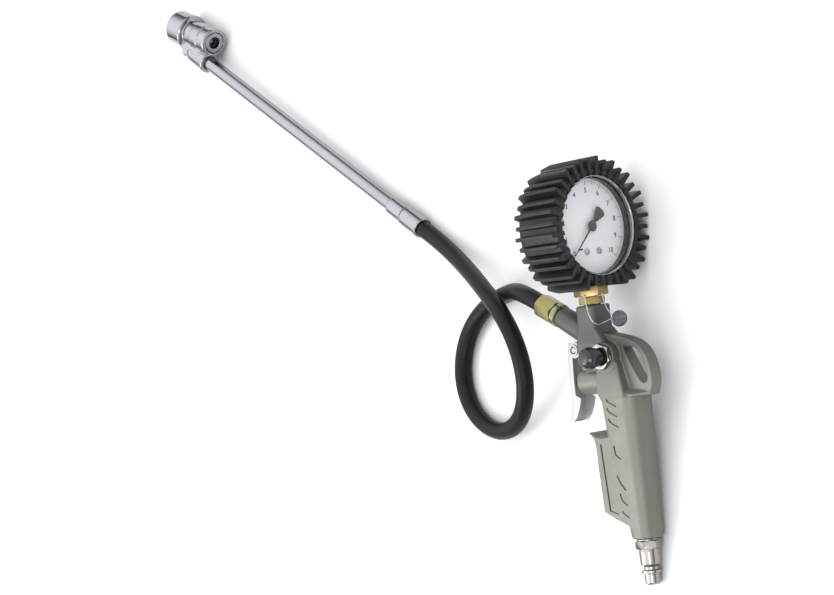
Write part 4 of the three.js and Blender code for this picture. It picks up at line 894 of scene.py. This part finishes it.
# distance from the middle of a fin (mm) -> how much of the fin shows; None is the middle of the gap
half = [(None, 0.0), (1.95, 0.0), (1.42, 0.012), (1.28, 0.07), (1.25, 0.90), (1.16, 0.975), (0.95, 1.0), (0.0, 1.0)]
cols = []
for i in range(FINS):
    c0 = 360.0 * (i + 0.5) / FINS
    top = LONG if i % 2 else SHORT
    cols += [(c0, -1, s, wgt, top) for s, wgt in half] + [(c0, 1, s, wgt, top) for s, wgt in reversed(half[1:-1])]
verts, NP = [], len(BASE) + len(INNER)
for c0, sgn, s, wgt, top in cols:
    pr_ = [(b[0] + (f[0] - b[0]) * wgt, b[1] + (f[1] - b[1]) * wgt) for b, f in zip(BASE, top)] + INNER
    for x, r in pr_:
        a = rad(c0) + sgn * (rad(5.0) if s is None else math.asin(min(1.0, s / r)))
        verts.append((x, r * math.cos(a), r * math.sin(a)))
faces = []
NA = len(cols)
for i in range(NA):
    j = (i + 1) % NA
    for k in range(NP):
        k2 = (k + 1) % NP
        faces.append([i * NP + k, j * NP + k, j * NP + k2, i * NP + k2])
buf = out_facing(make("buffer_skin", verts, faces, GUN))
buf = boolean(buf, lathe("c", [(0, -46), (11.2, -46), (11.2, -26), (0, -26)], STEM, Y, GUN, 72, radius=0))
buf = boolean(buf, slab("c", [(-40, -50), (5, -50), (5, -35.8), (-40, -35.8)], -12.6, 12.6, GUN))
buf.name = "buffer_skin"
piece(buf, "gun", "buffer", "buffer", "gauge_buffer", angle=50)

# ================================================================== seal wire and lead seal
left_run = [(1.2, -56.4, 0.2), (-2.0, -57.4, 0.6), (-4.9, -58.8, 2.8), (-5.6, -59.4, 6.4), (-6.6, -57.4, 9.2), (-8.4, -52.6, 10.2), (-9.4, -47.6, 10.0), (-9.7, -43.4, 10.4), (-9.8, -41.0, 10.9)]
right_run = [(3.0, -55.6, -0.6), (0.4, -53.4, 0.4), (-1.6, -50.2, 1.0), (-2.6, -46.6, 1.4), (-3.0, -43.2, 1.8), (-3.2, -41.0, 2.0)]
strands = []
for run in (left_run, right_run):
    base = curve_pts(run, 14)
    for ph in (0, math.pi):
        up = None
        pts, L = [], 0.0
        for i, p in enumerate(base):
            t = (base[min(i + 1, len(base) - 1)] - base[max(i - 1, 0)]).normalized()
            up = t.orthogonal().normalized() if up is None else (up - t * up.dot(t)).normalized()
            side = t.cross(up)
            if i:
                L += (p - base[i - 1]).length
            a = ph + L * 2.6
            pts.append(p + (up * math.cos(a) + side * math.sin(a)) * 0.21)
        strands.append(sweep("st", pts, 0.20, 8, GUN))
wire = join("wire_pair", strands)
piece(wire, "gun", "wire", "wire", "seal_wire", angle=60)
sn = Vector((0.72, 0.1, 0.69)).normalized()
sd = lathe("lead_disc", [(0, -2.1), (4.1, -2.1, 0.4), (4.8, -1.4, 0.5), (4.8, 1.4, 0.5), (4.1, 2.0, 0.25), (3.5, 2.05, 0.2), (3.2, 1.72, 0.2), (0, 1.72)], (5.9, -57.2, -0.8), sn, GUN, 96)
bm_ = bmesh.new()
bm_.from_mesh(sd.data)
Gi = GUN.inverted()
for v in bm_.verts:
    p = (Gi @ v.co) - Vector((5.9, -57.2, -0.8))
    h = p.dot(sn)
    r = (p - sn * h).length
    d = noise.noise(p * 0.55) * 0.22 + noise.noise(p * 1.7 + Vector((7, 3, 1))) * 0.10
    v.co = GUN @ ((Gi @ v.co) + sn * d * (1 if h > 0 else -1) + (p - sn * h) * (0.02 * noise.noise(p * 0.4)))
bm_.to_mesh(sd.data)
bm_.free()
piece(sd, "gun", "lead", "lead", "lead_seal")

# ================================================================== carried-over nodes
KEYS = {"chrome": "chrome", "nickel": "nickel", "steel": "steel", "brass": "brass", "rubber": "rubber", "black": "black", "copper": "copper", "cast": "cast",
        "olive": "olive", "zinc": "zinc", "lens": "lens", "dial": "dial", "buffer": "buffer", "wire": "wire", "lead": "lead", "hose": "hose"}
slots = {s["node"]: s["material_slot"] for s in frame["record"]["subparts"]}
for name, o in NODES.items():
    key = KEYS[slots.get(name, "steel")]
    if name == "extension_tube":
        key = "tube"
    if key + "_turned" in M:
        key += "_turned"
    for s in o.material_slots:
        s.material = M[key]

# ================================================================== floor, light, world
fm, fnt, fb, fco = new_mat("floor_paper")
f_ = n_noise(fnt, fco, 3.0, 3.0, 0.5)
fnt.links.new(n_ramp(fnt, f_, [(0.3, (0.665, 0.665, 0.665)), (0.7, (0.675, 0.675, 0.675))]), fb.inputs["Base Color"])
fb.inputs["Roughness"].default_value = 0.9
fb.inputs["Specular IOR Level"].default_value = 0.05
floor = make("floor", [(-18, -18, 0), (18, -18, 0), (18, 18, 0), (-18, 18, 0)], [[0, 1, 2, 3]], Matrix.Identity(4))
floor.data.materials.append(fm)

world = bpy.data.worlds.new("studio")
scene.world = world
world.use_nodes = True
wn = world.node_tree
bg = wn.nodes["Background"]
# a soft light tent: dark round the horizon, brighter overhead and towards the trigger side


def w_range(src, lo_, hi_, a_, b_):
    r = wn.nodes.new("ShaderNodeMapRange")
    r.interpolation_type = "SMOOTHSTEP"
    for k_, v_ in (("From Min", lo_), ("From Max", hi_), ("To Min", a_), ("To Max", b_)):
        r.inputs[k_].default_value = v_
    wn.links.new(src, r.inputs["Value"])
    return r.outputs[0]


tcw = wn.nodes.new("ShaderNodeTexCoord")
sep = wn.nodes.new("ShaderNodeSeparateXYZ")
wn.links.new(tcw.outputs["Generated"], sep.inputs[0])
dot = wn.nodes.new("ShaderNodeVectorMath")
dot.operation = "DOT_PRODUCT"
dot.inputs[1].default_value = Vector((-0.75, -0.45, 0.48)).normalized()
wn.links.new(tcw.outputs["Generated"], dot.inputs[0])
mul = wn.nodes.new("ShaderNodeMath")
mul.operation = "MULTIPLY"
wn.links.new(w_range(sep.outputs["Z"], 0.02, 0.58, 0.0, 1.0), mul.inputs[0])
wn.links.new(w_range(dot.outputs["Value"], -0.60, 0.60, 0.55, 1.0), mul.inputs[1])
# one dimmer panel low in front of the chuck end
dim = wn.nodes.new("ShaderNodeVectorMath")
dim.operation = "DOT_PRODUCT"
dim.inputs[1].default_value = Vector((0.0, -0.79, 0.61)).normalized()
wn.links.new(tcw.outputs["Generated"], dim.inputs[0])
mul2 = wn.nodes.new("ShaderNodeMath")
mul2.operation = "MULTIPLY"
wn.links.new(mul.outputs[0], mul2.inputs[0])
wn.links.new(w_range(dim.outputs["Value"], 0.86, 0.98, 1.0, 0.42), mul2.inputs[1])
wr = wn.nodes.new("ShaderNodeValToRGB")
wr.color_ramp.elements[0].color = (0.055, 0.052, 0.050, 1)
wr.color_ramp.elements[1].color = (0.965, 0.98, 1.0, 1)
wn.links.new(mul2.outputs[0], wr.inputs[0])
wn.links.new(wr.outputs[0], bg.inputs[0])
bg.inputs[1].default_value = 2.5


def area(name, loc, target, size, power, colour=(1, 1, 1), size_y=None):
    d = bpy.data.lights.new(name, "AREA")
    d.shape = "RECTANGLE"
    d.size = size
    d.size_y = size_y or size
    d.energy = power
    d.color = colour
    o = bpy.data.objects.new(name, d)
    scene.collection.objects.link(o)
    o.location = loc
    o.rotation_euler = (Vector(target) - Vector(loc)).to_track_quat("-Z", "Y").to_euler()
    return o


area("key", (1.35, -1.10, 1.95), (-0.10, 0.05, 0.0), 0.6, 10.0, size_y=0.6)
area("fill", (-1.50, -1.20, 2.0), (-0.10, 0.05, 0.0), 1.3, 30.0, size_y=1.3)
